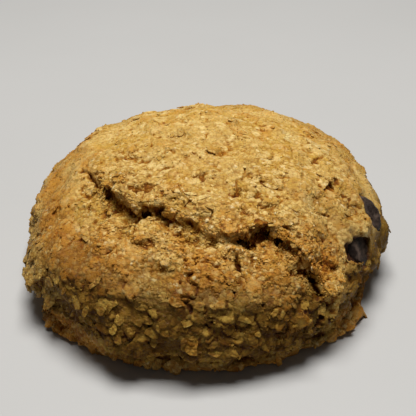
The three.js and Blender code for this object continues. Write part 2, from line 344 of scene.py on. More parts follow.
def softened(mesh: Mesh, values: Array, rounds: int) -> Array:
    """Spreads per-vertex rows of numbers over their neighbours.

    Args:
        mesh: The mesh whose edges say which vertices are neighbours.
        values: One row of numbers for each vertex.
        rounds: How often each row is drawn half way to its neighbours' mean.

    Returns:
        The softened rows.
    """
    ends = np.empty(len(mesh.edges) * 2, np.int32)
    mesh.edges.foreach_get("vertices", ends)
    a, b = ends.reshape(-1, 2).T
    n = len(values)
    share = np.maximum(np.bincount(a, minlength=n) + np.bincount(b, minlength=n), 1)
    soft = values.copy()
    for _ in range(rounds):
        for k in range(values.shape[1]):
            column = soft[:, k]
            near = np.bincount(a, column[b], n) + np.bincount(b, column[a], n)
            soft[:, k] = 0.5 * column + 0.5 * near / share
    return soft


def soft_normals(mesh: Mesh, rounds: int = 40) -> Array:
    """Outward directions of a mesh with its fine roughness averaged away."""
    out = softened(mesh, normals_of(mesh), rounds)
    return out / np.linalg.norm(out, axis=1, keepdims=True)


def mark(mesh: Mesh, name: Mark, values: Array) -> None:
    """Stores one number for each vertex under a mark's name."""
    layer = mesh.attributes.new(name.value, "FLOAT", "POINT")
    layer.data.foreach_set("value", values.astype(np.float32))


def read_mark(mesh: Mesh, name: Mark) -> Array:
    """Reads back the numbers stored under a mark's name."""
    return numbers_of(mesh.attributes[name.value].data, "value", 1)[:, 0]


def shade(mesh: Mesh, rounded: bool) -> None:
    """Shades every face smooth or flat."""
    mesh.polygons.foreach_set("use_smooth", np.full(len(mesh.polygons), rounded))


def join_copies(name: str, template: Bmesh, places: Array) -> Mesh:
    """Joins many reshaped copies of one small shape into one mesh.

    Args:
        name: The mesh's name.
        template: The small shape, whose faces every copy repeats.
        places: Vertex places of every copy in millimetres, copies by vertices by three.

    Returns:
        The joined mesh.
    """
    copies, count = places.shape[:2]
    faces = np.array([[v.index for v in f.verts] for f in template.faces])
    all_faces = (faces[None] + (np.arange(copies) * count)[:, None, None]).reshape(-1, faces.shape[1])
    mesh = bpy.data.meshes.new(name)
    mesh.vertices.add(copies * count)
    mesh.loops.add(all_faces.size)
    mesh.polygons.add(len(all_faces))
    mesh.loops.foreach_set("vertex_index", all_faces.astype(np.int32).ravel())
    mesh.polygons.foreach_set("loop_start", np.arange(len(all_faces), dtype=np.int32) * faces.shape[1])
    move_to(mesh, places.reshape(-1, 3))
    mesh.validate()
    return mesh


# Node graphs


class Graph:
    """A material's node graph, with short ways to add what the finishes use.

    Attributes:
        DRIFT_SIZE: Size of the noise that makes granules uneven, in granule sizes.
        NOISE_MIDDLE: Mean of a noise's three numbers.
    """

    DRIFT_SIZE: ClassVar[float] = 1.5
    NOISE_MIDDLE: ClassVar[Point] = (0.5, 0.5, 0.5)

    def __init__(self, name: str) -> None:
        """Starts a material with one plain shader.

        Args:
            name: The material's name.
        """
        self.material = bpy.data.materials.new(name)
        self.material.use_nodes = True
        self.tree = self.material.node_tree
        self.shader = self.tree.nodes["Principled BSDF"]
        self.place = self.tree.nodes.new("ShaderNodeTexCoord").outputs["Object"]

    def link(self, source: Socket, target: Socket) -> None:
        """Links two sockets."""
        self.tree.links.new(source, target)

    def put(self, target: Socket, value: Socket | Colour | float) -> None:
        """Links a socket, or sets a number or colour, on a target socket.

        Args:
            target: The socket to fill.
            value: What to fill it with.
        """
        if isinstance(value, Socket):
            self.link(value, target)
        elif isinstance(value, tuple):
            target.default_value = (*value, 1.0)
        else:
            target.default_value = value

    def set(self, **numbers: float | Colour) -> None:
        """Sets constants on the shader, each by its socket's name with underscores for spaces."""
        for name, number in numbers.items():
            self.shader.inputs[name.replace("_", " ")].default_value = number

    def marked(self, name: Mark) -> Socket:
        """Reads a per-vertex mark.

        Args:
            name: The mark.

        Returns:
            The mark's number.
        """
        node = self.tree.nodes.new("ShaderNodeAttribute")
        node.attribute_name = name.value
        return node.outputs["Fac"]

    def noise(self, size: float, detail: float = 3.0, rough: float = 0.55) -> Socket:
        """Adds smooth noise on the object's own coordinates.

        Args:
            size: Size of one patch in millimetres.
            detail: Number of finer layers.
            rough: Strength of the finer layers.

        Returns:
            The noise, from 0 to 1.
        """
        node = self.tree.nodes.new("ShaderNodeTexNoise")
        node.inputs["Scale"].default_value = 1.0 / (size * MM)
        node.inputs["Detail"].default_value = detail
        node.inputs["Roughness"].default_value = rough
        self.link(self.place, node.inputs["Vector"])
        return node.outputs["Fac"]

    def cells(self, size: float, stray: float) -> tuple[Socket, Socket]:
        """Adds uneven granules on the object's own coordinates.

        Args:
            size: Size of one granule in millimetres.
            stray: How far the granules' outlines stray in millimetres.

        Returns:
            The distance from the granule's middle in granule sizes, and a number for the granule.
        """
        drift = self.tree.nodes.new("ShaderNodeTexNoise")
        drift.inputs["Scale"].default_value = 1.0 / (self.DRIFT_SIZE * size * MM)
        self.link(self.place, drift.inputs["Vector"])
        centred = self.vector(Work.SUBTRACT, drift.outputs["Color"], self.NOISE_MIDDLE)
        moved = self.vector(Work.ADD, self.vector(Work.SCALE, centred, stray * MM), self.place)
        node = self.tree.nodes.new("ShaderNodeTexVoronoi")
        node.inputs["Scale"].default_value = 1.0 / (size * MM)
        self.link(moved, node.inputs["Vector"])
        split = self.tree.nodes.new("ShaderNodeSeparateColor")
        self.link(node.outputs["Color"], split.inputs["Color"])
        return node.outputs["Distance"], split.outputs["Red"]

    def vector(self, work: Work, first: Socket, second: Socket | Point | float) -> Socket:
        """Works out one vector from two, or from a vector and a scale.

        Args:
            work: What is done.
            first: The first vector.
            second: The second vector, or the scale.

        Returns:
            The new vector.
        """
        node = self.tree.nodes.new("ShaderNodeVectorMath")
        node.operation = work.value
        self.link(first, node.inputs[0])
        if isinstance(second, Socket):
            self.link(second, node.inputs[1])
        else:
            node.inputs["Scale" if work is Work.SCALE else 1].default_value = second
        return node.outputs["Vector"]

    def span(self, value: Socket, low: float, high: float, start: float = 0.0,
             end: float = 1.0) -> Socket:
        """Stretches a range of values onto another, eased at its ends.

        Args:
            value: The socket to stretch.
            low: The value that becomes start.
            high: The value that becomes end.
            start: First result.
            end: Last result.

        Returns:
            The stretched value.
        """
        node = self.tree.nodes.new("ShaderNodeMapRange")
        node.interpolation_type = "SMOOTHSTEP"
        self.link(value, node.inputs["Value"])
        for key, number in zip(("From Min", "From Max", "To Min", "To Max"), (low, high, start, end)):
            node.inputs[key].default_value = number
        return node.outputs["Result"]

    def combine(self, work: Work, first: Socket | float, second: Socket | float) -> Socket:
        """Works out one number from two.

        Args:
            work: What is done.
            first: The first number.
            second: The second number.

        Returns:
            The new number.
        """
        node = self.tree.nodes.new("ShaderNodeMath")
        node.operation = work.value
        self.put(node.inputs[0], first)
        self.put(node.inputs[1], second)
        return node.outputs["Value"]

    def mix(self, share: Socket | float, first: Socket | Colour, second: Socket | Colour,
            how: Blend = Blend.MIX) -> Socket:
        """Mixes two colours.

        Args:
            share: Share of the second colour.
            first: The first colour.
            second: The second colour.
            how: How the second colour is laid on the first.

        Returns:
            The mixed colour.
        """
        node = self.tree.nodes.new("ShaderNodeMix")
        node.data_type = "RGBA"
        node.blend_type = how.value
        self.put(node.inputs["Factor"], share)
        first_socket, second_socket = (s for s in node.inputs if s.type == "RGBA")
        self.put(first_socket, first)
        self.put(second_socket, second)
        return next(s for s in node.outputs if s.type == "RGBA")

    def bump(self, height: Socket, depth: float, strength: float) -> None:
        """Roughens the shading.

        Args:
            height: The height to roughen by, from 0 to 1.
            depth: How deep that is in millimetres.
            strength: How much of it shows.
        """
        node = self.tree.nodes.new("ShaderNodeBump")
        node.inputs["Distance"].default_value = depth * MM
        node.inputs["Strength"].default_value = strength
        self.link(height, node.inputs["Height"])
        self.link(node.outputs["Normal"], self.shader.inputs["Normal"])


# Finishes


@dataclass(frozen=True)
class BakedFinish:
    """Baked oat dough: golden, toasted where it stands out, paler inside its cracks. Millimetres.

    A span gives the two values that are read and what they become.
    """

    pale: Colour = (0.71, 0.49, 0.165)
    golden: Colour = (0.56, 0.32, 0.048)
    toasted: Colour = (0.56, 0.262, 0.036)
    dark: Colour = (0.22, 0.068, 0.006)
    brown_oat: Colour = (0.50, 0.28, 0.046)
    pale_oat: Colour = (0.84, 0.64, 0.27)
    crumb: Colour = (0.58, 0.38, 0.078)
    stain: Colour = (0.060, 0.019, 0.007)
    # Painted shade in the pits and hollows.
    pit: Colour = (0.30, 0.17, 0.04)
    # shade and shade_oat are painted shade, multiplied over the dough and the flakes on the lower wall, the
    # rim and the right front of the top.
    shade: Colour = (0.20, 0.150, 0.026)
    shade_oat: Colour = (0.50, 0.41, 0.155)
    # Painted glints: sugar specks drawn near-white.
    sugar_glint: Colour = (0.92, 0.78, 0.46)
    # Warm painted shade, laid first in the pits and hollows.
    warm_recess_shade: Colour = (1.0, 0.78, 0.34)
    # Painted shade in the gaps between granules.
    gap: Colour = (0.45, 0.28, 0.08)
    grit: Colour = (0.70, 0.58, 0.42)
    patch_size: float = 8.0
    fine_size: float = 1.1
    grit_size: float = 0.55
    skin_size: float = 0.5
    granule_size: float = 0.80
    granule_stray: float = 0.9
    pale_patches: Span = (0.38, 0.62, 0.0, 0.65)
    pale_specks: Span = (0.42, 0.70, 0.0, 0.5)
    uneven_toast: Span = (0.3, 0.7, -0.16, 0.16)
    light_toast: Span = (0.10, 0.80, 0.0, 1.0)
    dark_toast: Span = (0.75, 1.35, 0.0, 1.0)
    oat_tones: Span = (0.1, 0.95, 0.0, 1.0)
    shaded_oats: Span = (0.1, 0.7, 0.0, 1.0)
    light_granules: Span = (0.55, 0.95, 0.0, 0.6)
    sugar_glint_granules: Span = (0.955, 0.975, 0.0, 0.55)
    brown_granules: Span = (0.35, 0.0, 0.0, 0.8)
    granule_gap_shade: Span = (0.40, 0.80, 0.0, 0.75)
    granule_domes: Span = (0.8, 0.1, 0.0, 1.0)
    grit_specks: Span = (0.55, 0.30, 0.0, 1.0)
    warm_pit_shade: Span = (0.05, 0.5, 0.0, 1.0)
    roughness: Span = (0.35, 0.6, 0.30, 0.85)
    specular: float = 0.14
    glow: float = 0.12
    glow_radius: Colour = (1.0, 0.5, 0.2)
    glow_depth: float = 0.5
    bump_depth: float = 0.30
    bump_strength: float = 0.9

    def material(self, name: str, oat_share: float) -> Material:
        """Makes the dough's material.

        Args:
            name: The material's name.
            oat_share: How much of the oats' own pale colour the flakes keep.

        Returns:
            The material.
        """
        graph = Graph(name)
        grit = graph.noise(self.grit_size, 3.0, 0.7)
        reach, draw = graph.cells(self.granule_size, self.granule_stray)
        grain = graph.marked(Mark.GRAIN)
        colour = self.baked(graph, oat_share)
        # Random pale and brown granules, painted glints of sugar, and painted shade in the gaps between
        # granules.
        for tint, values, span, how in ((self.pale_oat, draw, self.light_granules, Blend.MIX),
                                        (self.sugar_glint, draw, self.sugar_glint_granules, Blend.MIX),
                                        (self.grit, draw, self.brown_granules, Blend.MULTIPLY),
                                        (self.gap, reach, self.granule_gap_shade, Blend.MULTIPLY)):
            share = graph.combine(Work.MULTIPLY, grain, graph.span(values, *span))
            colour = graph.mix(share, colour, tint, how)
        colour = graph.mix(graph.span(grit, *self.grit_specks), colour, self.grit, Blend.MULTIPLY)
        graph.link(self.shaded(graph, colour), graph.shader.inputs["Base Color"])
        graph.link(graph.span(grit, *self.roughness), graph.shader.inputs["Roughness"])
        graph.set(Specular_IOR_Level=self.specular, Subsurface_Weight=self.glow,
                  Subsurface_Radius=self.glow_radius, Subsurface_Scale=self.glow_depth * MM)
        dome = graph.combine(Work.MULTIPLY, grain, graph.span(reach, *self.granule_domes))
        skin = graph.noise(self.skin_size, 4.0, 0.7)
        graph.bump(graph.combine(Work.ADD, dome, skin), self.bump_depth, self.bump_strength)
        return graph.material

    def baked(self, graph: Graph, oat_share: float) -> Socket:
        """Colours the crust by how it baked, with its inner crumb and its flakes.

        Args:
            graph: The material's graph.
            oat_share: How much of the oats' own pale colour the flakes keep.

        Returns:
            The colour.
        """
        patch = graph.noise(self.patch_size, 3.0)
        fine = graph.noise(self.fine_size, 4.0, 0.65)
        uneven = graph.span(fine, *self.uneven_toast)
        toast = graph.combine(Work.ADD, graph.marked(Mark.TOAST), uneven)
        colour = graph.mix(graph.span(patch, *self.pale_patches), self.golden, self.pale)
        colour = graph.mix(graph.span(fine, *self.pale_specks), colour, self.pale)
        colour = graph.mix(graph.marked(Mark.CRUMB), colour, self.crumb)
        tone = graph.span(graph.marked(Mark.TONE), *self.oat_tones)
        oat = graph.mix(tone, self.brown_oat, self.pale_oat)
        colour = graph.mix(graph.combine(Work.MULTIPLY, graph.marked(Mark.FLAKE), oat_share), colour, oat)
        colour = graph.mix(graph.span(toast, *self.light_toast), colour, self.toasted)
        return graph.mix(graph.span(toast, *self.dark_toast), colour, self.dark)

    def shaded(self, graph: Graph, colour: Socket) -> Socket:
        """Lays painted shade on the wall, the rim and the right front, painted shade in the pits and
        hollows, and the melted chocolate over a colour.

        Args:
            graph: The material's graph.
            colour: The colour.

        Returns:
            The new colour.
        """
        # Painted shade on the lower wall, the rim and the right front of the top.
        tone = graph.span(graph.marked(Mark.TONE), *self.shaded_oats)
        oat = graph.combine(Work.MULTIPLY, graph.marked(Mark.FLAKE), tone)
        painted_shade = graph.mix(oat, self.shade, self.shade_oat)
        colour = graph.mix(graph.marked(Mark.SHADE), colour, painted_shade, Blend.MULTIPLY)
        # Painted shade in the pits and hollows: a warm tint, then darker.
        pit = graph.marked(Mark.PIT)
        colour = graph.mix(graph.span(pit, *self.warm_pit_shade), colour, self.warm_recess_shade, Blend.MULTIPLY)
        colour = graph.mix(pit, colour, self.pit, Blend.MULTIPLY)
        return graph.mix(graph.marked(Mark.STAIN), colour, self.stain)


@dataclass(frozen=True)
class ChocolateFinish:
    """Dark chocolate, satin, with a slight grey bloom. Millimetres."""

    dark: Colour = (0.015, 0.008, 0.005)
    bloom: Colour = (0.120, 0.080, 0.058)
    bloom_size: float = 2.2
    bloom_patches: Span = (0.4, 0.7, 0.0, 1.0)
    roughness: Span = (0.3, 0.7, 0.50, 0.75)
    specular: float = 0.2
    bump_size: float = 0.8
    bump_depth: float = 0.30
    bump_strength: float = 0.8

    def material(self) -> Material:
        """Makes the chips' material.

        Returns:
            The material.
        """
        graph = Graph("dark_chocolate")
        patch = graph.noise(self.bloom_size, 4.0, 0.62)
        colour = graph.mix(graph.span(patch, *self.bloom_patches), self.dark, self.bloom)
        graph.link(colour, graph.shader.inputs["Base Color"])
        graph.link(graph.span(patch, *self.roughness), graph.shader.inputs["Roughness"])
        graph.set(Specular_IOR_Level=self.specular)
        graph.bump(graph.noise(self.bump_size, 4.0, 0.65), self.bump_depth, self.bump_strength)
        return graph.material


@dataclass(frozen=True)
class FloorFinish:
    """A plain pale floor. Millimetres."""

    colour: Colour = (0.50, 0.49, 0.47)
    shade: Colour = (0.47, 0.46, 0.44)
    patch_size: float = 60.0
    roughness: float = 0.6

    def material(self) -> Material:
        """Makes the floor's material.

        Returns:
            The material.
        """
        graph = Graph("pale_floor")
        colour = graph.mix(graph.noise(self.patch_size), self.colour, self.shade)
        graph.link(colour, graph.shader.inputs["Base Color"])
        graph.set(Roughness=self.roughness)
        return graph.material


# The cookie


@dataclass(frozen=True)
class DomeShape:
    """The smooth dome that the rough dough strays from, as the solids have it. Millimetres.

    Attributes:
        stations: Plan points along the main fissure, each with how far under its near edge the
            crumb inside it lies there.
        cracks: Plan points along the smaller cracks.
        slits: Plan points along the thin dark slits in the crust.
        left_lip: Bearings in degrees between which the left lip at the foot comes and goes.
        right_lip: The same for the right lip.
        right_share: How far the right lip spread, as a share of the left one.
        fissure_reach: Distances from the fissure at which its inside ends.
        fissure_sink: Depths under the smooth dome at which its inside starts.
    """

    radius: float = 40.0
    height: float = 28.7
    equator: float = 6.9
    power: float = 2.05
    stations: tuple[Point, ...] = (
        (-20.3, -10.6, 1.2), (-18.2, -15.8, 2.4), (-14.9, -19.6, 1.9), (-10.2, -19.7, 3.2),
        (-6.2, -22.4, 1.5), (-1.6, -25.0, 1.4), (3.2, -27.0, 1.7), (7.6, -26.2, 2.1),
        (11.2, -24.2, 1.3), (15.1, -25.1, 0.8), (18.4, -27.8, 0.8), (21.8, -29.9, 0.4),
    )
    cracks: tuple[Path, ...] = (
        ((-17.0, -26.3), (-12.6, -26.6), (-8.2, -25.7)),
        ((4.6, -27.6), (5.8, -30.6), (6.4, -33.0), (7.4, -35.4)),
        ((-27.6, 1.6), (-25.2, -4.6), (-20.8, -10.2)),
        ((15.2, -15.4), (19.7, -14.7), (24.4, -10.0), (27.9, -2.0)),
        ((-10.6, 26.2), (-3.0, 22.4), (5.6, 23.8), (13.2, 20.2)),
    )
    slits: tuple[Path, ...] = (
        ((5.3, -28.3), (5.6, -29.4), (6.3, -31.3), (6.5, -33.0)),
        ((14.7, -22.9), (16.1, -23.2), (17.5, -24.2)),
        ((16.9, -27.8), (18.0, -28.0), (19.0, -28.4)),
        ((19.4, -27.9), (20.2, -28.8), (21.1, -29.6)),
        ((-26.4, -1.2), (-23.9, -4.8), (-22.4, -7.6), (-20.8, -10.2)),
    )
    left_lip: tuple[Limits, Limits] = ((-149, -141), (-122, -116))
    right_lip: tuple[Limits, Limits] = ((-54, -49), (-35, -30))
    right_share: float = 0.8
    fissure_reach: Limits = (3.0, 6.0)
    fissure_sink: Limits = (1.3, 2.8)

    @property
    def fissure(self) -> Path:
        """The main fissure's plan points."""
        return tuple((x, y) for x, y, _ in self.stations)

    def stretches(self) -> list[tuple[Array, Array]]:
        """Each station of the main fissure with the next one."""
        stations = np.array(self.stations)
        return list(zip(stations, stations[1:]))

    def top_at(self, places: Array) -> Array:
        """Height of the smooth dome over each place, the equator's outside it."""
        ratio = np.clip(np.hypot(places[:, 0], places[:, 1]) / self.radius, 0, 1)
        return self.equator + (self.height - self.equator) * (1 - ratio**self.power) ** (1 / self.power)

    def spread_foot(self, places: Array) -> Array:
        """How much the foot spread out in a lip at each place's bearing.

        Args:
            places: Places in millimetres.

        Returns:
            A share from 0 to 1 for each place.
        """
        bearing = bearing_of(places)
        lips = (self.left_lip, self.right_lip)
        left, right = (ramp(bearing, *come) * (1 - ramp(bearing, *go)) for come, go in lips)
        return left + self.right_share * right

    def inside_fissure(self, places: Array) -> Array:
        """How far each place is inside the main fissure, from 0 to 1."""
        near = 1 - ramp(path_distance(places, self.fissure), *self.fissure_reach)
        return near * ramp(self.top_at(places) - places[:, 2], *self.fissure_sink)


@dataclass(frozen=True)
class Lump:
    """A rounded lump that is fused into the dough. Millimetres, and a turn in degrees."""

    middle: Point
    half: Point
    turn: float = 0.0

    def add_to(self, made: Bmesh) -> None:
        """Adds the lump to a bmesh.

        Args:
            made: The bmesh.
        """
        turned = Matrix.Rotation(math.radians(self.turn), 4, "Z")
        place = Matrix.Translation(Vector(self.middle) * MM) @ turned
        size = Matrix.Diagonal((*(half * MM for half in self.half), 1.0))
        bmesh.ops.create_icosphere(made, subdivisions=2, radius=1.0, matrix=place @ size)


class Probe:
    """Finds the height of a solid over a plan point.

    Attributes:
        ABOVE: Height in millimetres from which the probe looks down.
    """

    ABOVE: ClassVar[float] = 100.0

    def __init__(self, solid: Bmesh) -> None:
        """Keeps the solid's faces as they are now."""
        self.tree = BVHTree.FromBMesh(solid)

    def height(self, x: float, y: float) -> float:
        """Height of the top of the solid over a plan point, 0 beside it. Millimetres."""
        found = self.tree.ray_cast(Vector((x, y, self.ABOVE)) * MM, Vector((0, 0, -1)))[0]
        return found.z / MM if found else 0.0


@dataclass(frozen=True)
class FissureCut:
    """A cut across the main fissure. Millimetres.

    Attributes:
        at: Plan point on the fissure's line.
        inwards: Plan direction towards the cookie's middle.
        depth: How far under the near edge the crumb lies.
        near: Height of the near edge.
        far: Height of the far edge.
    """

    at: Array
    inwards: Array
    depth: float
    near: float
    far: float


@dataclass(frozen=True)
class CrumbRow:
    """A row of lumps along the main fissure. Millimetres.

    Attributes:
        inwards: How far the row lies from the fissure's line, towards the cookie's middle.
        climb: How far its top climbs from the near edge to the far one, as a share.
        sink: How far its top sinks, as a share of the fissure's depth.
        drop: How much further its top lies down.
        size: Smallest and largest half size of a lump.
    """

    inwards: float
    climb: float
    sink: float
    drop: float
    size: Limits

    def top(self, cut: FissureCut) -> float:
        """Height of the row's top at a cut across the fissure."""
        return cut.near - self.sink * cut.depth + self.climb * (cut.far - cut.near) - self.drop


@dataclass(frozen=True)
class FissureCrumb:
    """Crumb that fills the fissure part way up, and the ragged lumps along its edges. Millimetres.

    Attributes:
        steps: Cuts across the fissure from one station to the next.
        near_edge: Where the near edge is probed, as a distance inwards.
        far_edge: Where the far edge is probed.
        rows: The rows of lumps, the one along the foot of the far ledge first.
        ledge_count: Small crumbs on the far ledge from one station to the next.
        ledge_down: How far down the ledge they cling, as shares of its height.
    """

    steps: int = 5
    near_edge: float = -3.4
    far_edge: float = 3.6
    rows: tuple[CrumbRow, ...] = (
        CrumbRow(1.6, 0.40, 0.8, 0.0, (1.2, 2.0)), CrumbRow(0.2, 0.15, 1.0, 0.0, (1.1, 1.9)),
        CrumbRow(-1.2, 0.0, 0.7, 0.0, (1.0, 1.6)), CrumbRow(2.9, 1.0, 0.0, 0.5, (0.9, 1.6)),
        CrumbRow(-2.5, 0.0, 0.0, 0.2, (0.8, 1.5)),
    )
    row_stray: float = 0.5
    plan_stray: float = 0.4
    height_stray: float = 0.3
    uneven: Limits = (0.7, 1.3)
    ledge_count: int = 26
    ledge_down: Limits = (0.0, 0.6)
    ledge_inwards: float = 2.9
    ledge_slope: float = 1.3
    ledge_drop: float = 0.3
    ledge_half: Limits = (0.45, 0.95)
    ledge_uneven: Limits = (0.75, 1.25)
    ledge_stray: Limits = (-0.2, 0.35)

    def cut(self, probe: Probe, station: Array) -> FissureCut:
        """Cuts across the fissure.

        Args:
            probe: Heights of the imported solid.
            station: Plan point and depth of the fissure.

        Returns:
            The cut.
        """
        x, y, depth = station
        at = np.array([x, y])
        inwards = -at / math.hypot(x, y)
        near, far = (probe.height(*(at + edge * inwards)) for edge in (self.near_edge, self.far_edge))
        return FissureCut(at, inwards, depth, near, far)

    def fill(self, rng: Draws, probe: Probe, shape: DomeShape) -> list[Lump]:
        """Lays the rows of lumps.

        Args:
            rng: The source of draws.
            probe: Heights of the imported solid.
            shape: The dome and its fissure.

        Returns:
            The lumps.
        """
        lumps = []
        for start, end in shape.stretches():
            for part in np.linspace(0, 1, self.steps, endpoint=False):
                cut = self.cut(probe, start + part * (end - start))
                for row in self.rows:
                    size = rng.uniform(*row.size)
                    inwards = row.inwards + rng.uniform(-self.row_stray, self.row_stray)
                    at = cut.at + inwards * cut.inwards + rng.uniform(-self.plan_stray, self.plan_stray, 2)
                    half = size * rng.uniform(*self.uneven, 3)
                    top = row.top(cut) - half[2] + rng.uniform(-self.height_stray, self.height_stray)
                    lumps.append(Lump((*at, top), tuple(half), rng.uniform(0, 180)))
        return lumps

    def ledge(self, rng: Draws, probe: Probe, shape: DomeShape) -> list[Lump]:
        """Lays small crumbs that cling to the far ledge and make its edge ragged.

        Args:
            rng: The source of draws.
            probe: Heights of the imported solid.
            shape: The dome and its fissure.

        Returns:
            The lumps.
        """
        lumps = []
        for start, end in shape.stretches():
            for part in rng.uniform(0, 1, self.ledge_count):
                cut = self.cut(probe, start + part * (end - start))
                down = rng.uniform(*self.ledge_down)
                top = (cut.far - self.ledge_drop) * (1 - down) + self.rows[0].top(cut) * down
                half = rng.uniform(*self.ledge_half) * rng.uniform(*self.ledge_uneven, 3)
                inwards = self.ledge_inwards - self.ledge_slope * down
                at = cut.at + inwards * cut.inwards + rng.uniform(-self.plan_stray, self.plan_stray, 2)
                lumps.append(Lump((*at, top - half[2] + rng.uniform(*self.ledge_stray)), tuple(half)))
        return lumps


@dataclass(frozen=True)
class CrackCrumb:
    """Crumb that nearly fills the smaller cracks, so that each shows as a thin line. Millimetres.

    Attributes:
        spacing: Distance from one pair of lumps to the next.
        edge: Where a crack's edges are probed, as a distance from its line.
        aside: How far a pair's lumps lie from that line.
        sink: How far a lump's top lies under the crack's edges.
    """

    spacing: float = 0.9
    edge: float = 2.2
    aside: float = 0.55
    stray: float = 0.25
    half: Limits = (0.75, 1.25)
    sink: Limits = (0.1, 0.7)

    def fill(self, rng: Draws, probe: Probe, shape: DomeShape) -> list[Lump]:
        """Lays the lumps.

        Args:
            rng: The source of draws.
            probe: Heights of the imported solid.
            shape: The dome and its cracks.

        Returns:
            The lumps.
        """
        lumps = []
        for start, end in itertools.chain.from_iterable(zip(path, path[1:]) for path in shape.cracks):
            run = np.subtract(end, start)
            across = np.array([-run[1], run[0]]) / np.linalg.norm(run)
            for part in np.arange(0, 1, self.spacing / np.linalg.norm(run)):
                at = np.array(start) + part * run
                high = np.mean([probe.height(*(at + side * self.edge * across)) for side in (-1, 1)])
                for side in (-self.aside, self.aside):
                    half = rng.uniform(*self.half, 3)
                    x, y = at + (side + rng.uniform(-self.stray, self.stray)) * across
                    lumps.append(Lump((x, y, high - half[2] - rng.uniform(*self.sink)), tuple(half)))
        return lumps


@dataclass(frozen=True)
class FootArc:
    """A stretch of the lip at the foot. Millimetres and degrees.

    Attributes:
        bearings: First and last bearing.
        radius: Distance from the cookie's middle at the first and last bearing.
        half_height: Least and greatest half height of a lump.
    """

    bearings: Limits
    radius: Limits
    half_height: Limits


@dataclass(frozen=True)
class FootLip:
    """The thin toasted lip that spread out at the foot, in ragged lumps. Millimetres and degrees."""

    arcs: tuple[FootArc, ...] = (
        FootArc((-146, -119), (38.4, 36.9), (1.3, 1.9)), FootArc((-51, -32), (35.9, 37.5), (1.2, 1.8)),
        FootArc((-112, -66), (34.9, 35.1), (1.0, 1.5)),
    )
    spacing: float = 3.4
    bearing_stray: float = 0.8
    radius_stray: Limits = (-0.5, 0.6)
    half_depth: Limits = (1.5, 2.4)
    half_width: Limits = (1.4, 2.3)
    lift: float = 0.05

    def lumps(self, rng: Draws) -> list[Lump]:
        """Lays the lumps.

        Args:
            rng: The source of draws.

        Returns:
            The lumps.
        """
        lumps = []
        for arc in self.arcs:
            even = np.arange(*arc.bearings, self.spacing)
            for bearing in even + rng.uniform(-self.bearing_stray, self.bearing_stray, len(even)):
                radius = np.interp(bearing, arc.bearings, arc.radius) + rng.uniform(*self.radius_stray)
                height = rng.uniform(*arc.half_height)
                angle = math.radians(bearing)
                half = (rng.uniform(*self.half_depth), rng.uniform(*self.half_width), height)
                middle = (radius * math.cos(angle), radius * math.sin(angle), height + self.lift)
                lumps.append(Lump(middle, half, bearing))
        return lumps


@dataclass(frozen=True)
class ChipRims:
    """Dough that baked over parts of the rims of the chips on the far side. Millimetres.

    Attributes:
        each: Lumps beside each chip.
        rim_share: Where a chip's rim starts, as a share of its widest reach.
        spread: How far off the chip's middle the lumps lie, as a share of the rim's own reach.
        facing: What turns a chip's place into the direction that it faces.
    """

    chips: tuple[str, ...] = ("chocolate_chip_3", "chocolate_chip_4")
    each: int = 5
    rim_share: float = 0.85
    spread: float = 1.12
    half: Limits = (1.0, 1.9)
    stray: Limits = (-0.4, 0.6)
    facing: Point = (1, 1, 0.5)

    def lumps(self, rng: Draws) -> list[Lump]:
        """Lays the lumps.

        Args:
            rng: The source of draws.

        Returns:
            The lumps.
        """
        lumps = []
        for name in self.chips:
            chip = merged_copy(name)
            places = np.array([v.co for v in chip.verts]) / MM
            chip.free()
            middle = places.mean(axis=0)
            out = middle * self.facing
            out /= np.linalg.norm(out)
            flat = places - middle - np.outer((places - middle) @ out, out)
            reach = np.linalg.norm(flat, axis=1)
            rim = np.flatnonzero(reach > self.rim_share * reach.max())
            for i in rng.choice(rim, self.each, replace=False):
                half = rng.uniform(*self.half, 3)
                at = middle + self.spread * flat[i] + rng.uniform(*self.stray) * out
                lumps.append(Lump(tuple(at), tuple(half)))
        return lumps


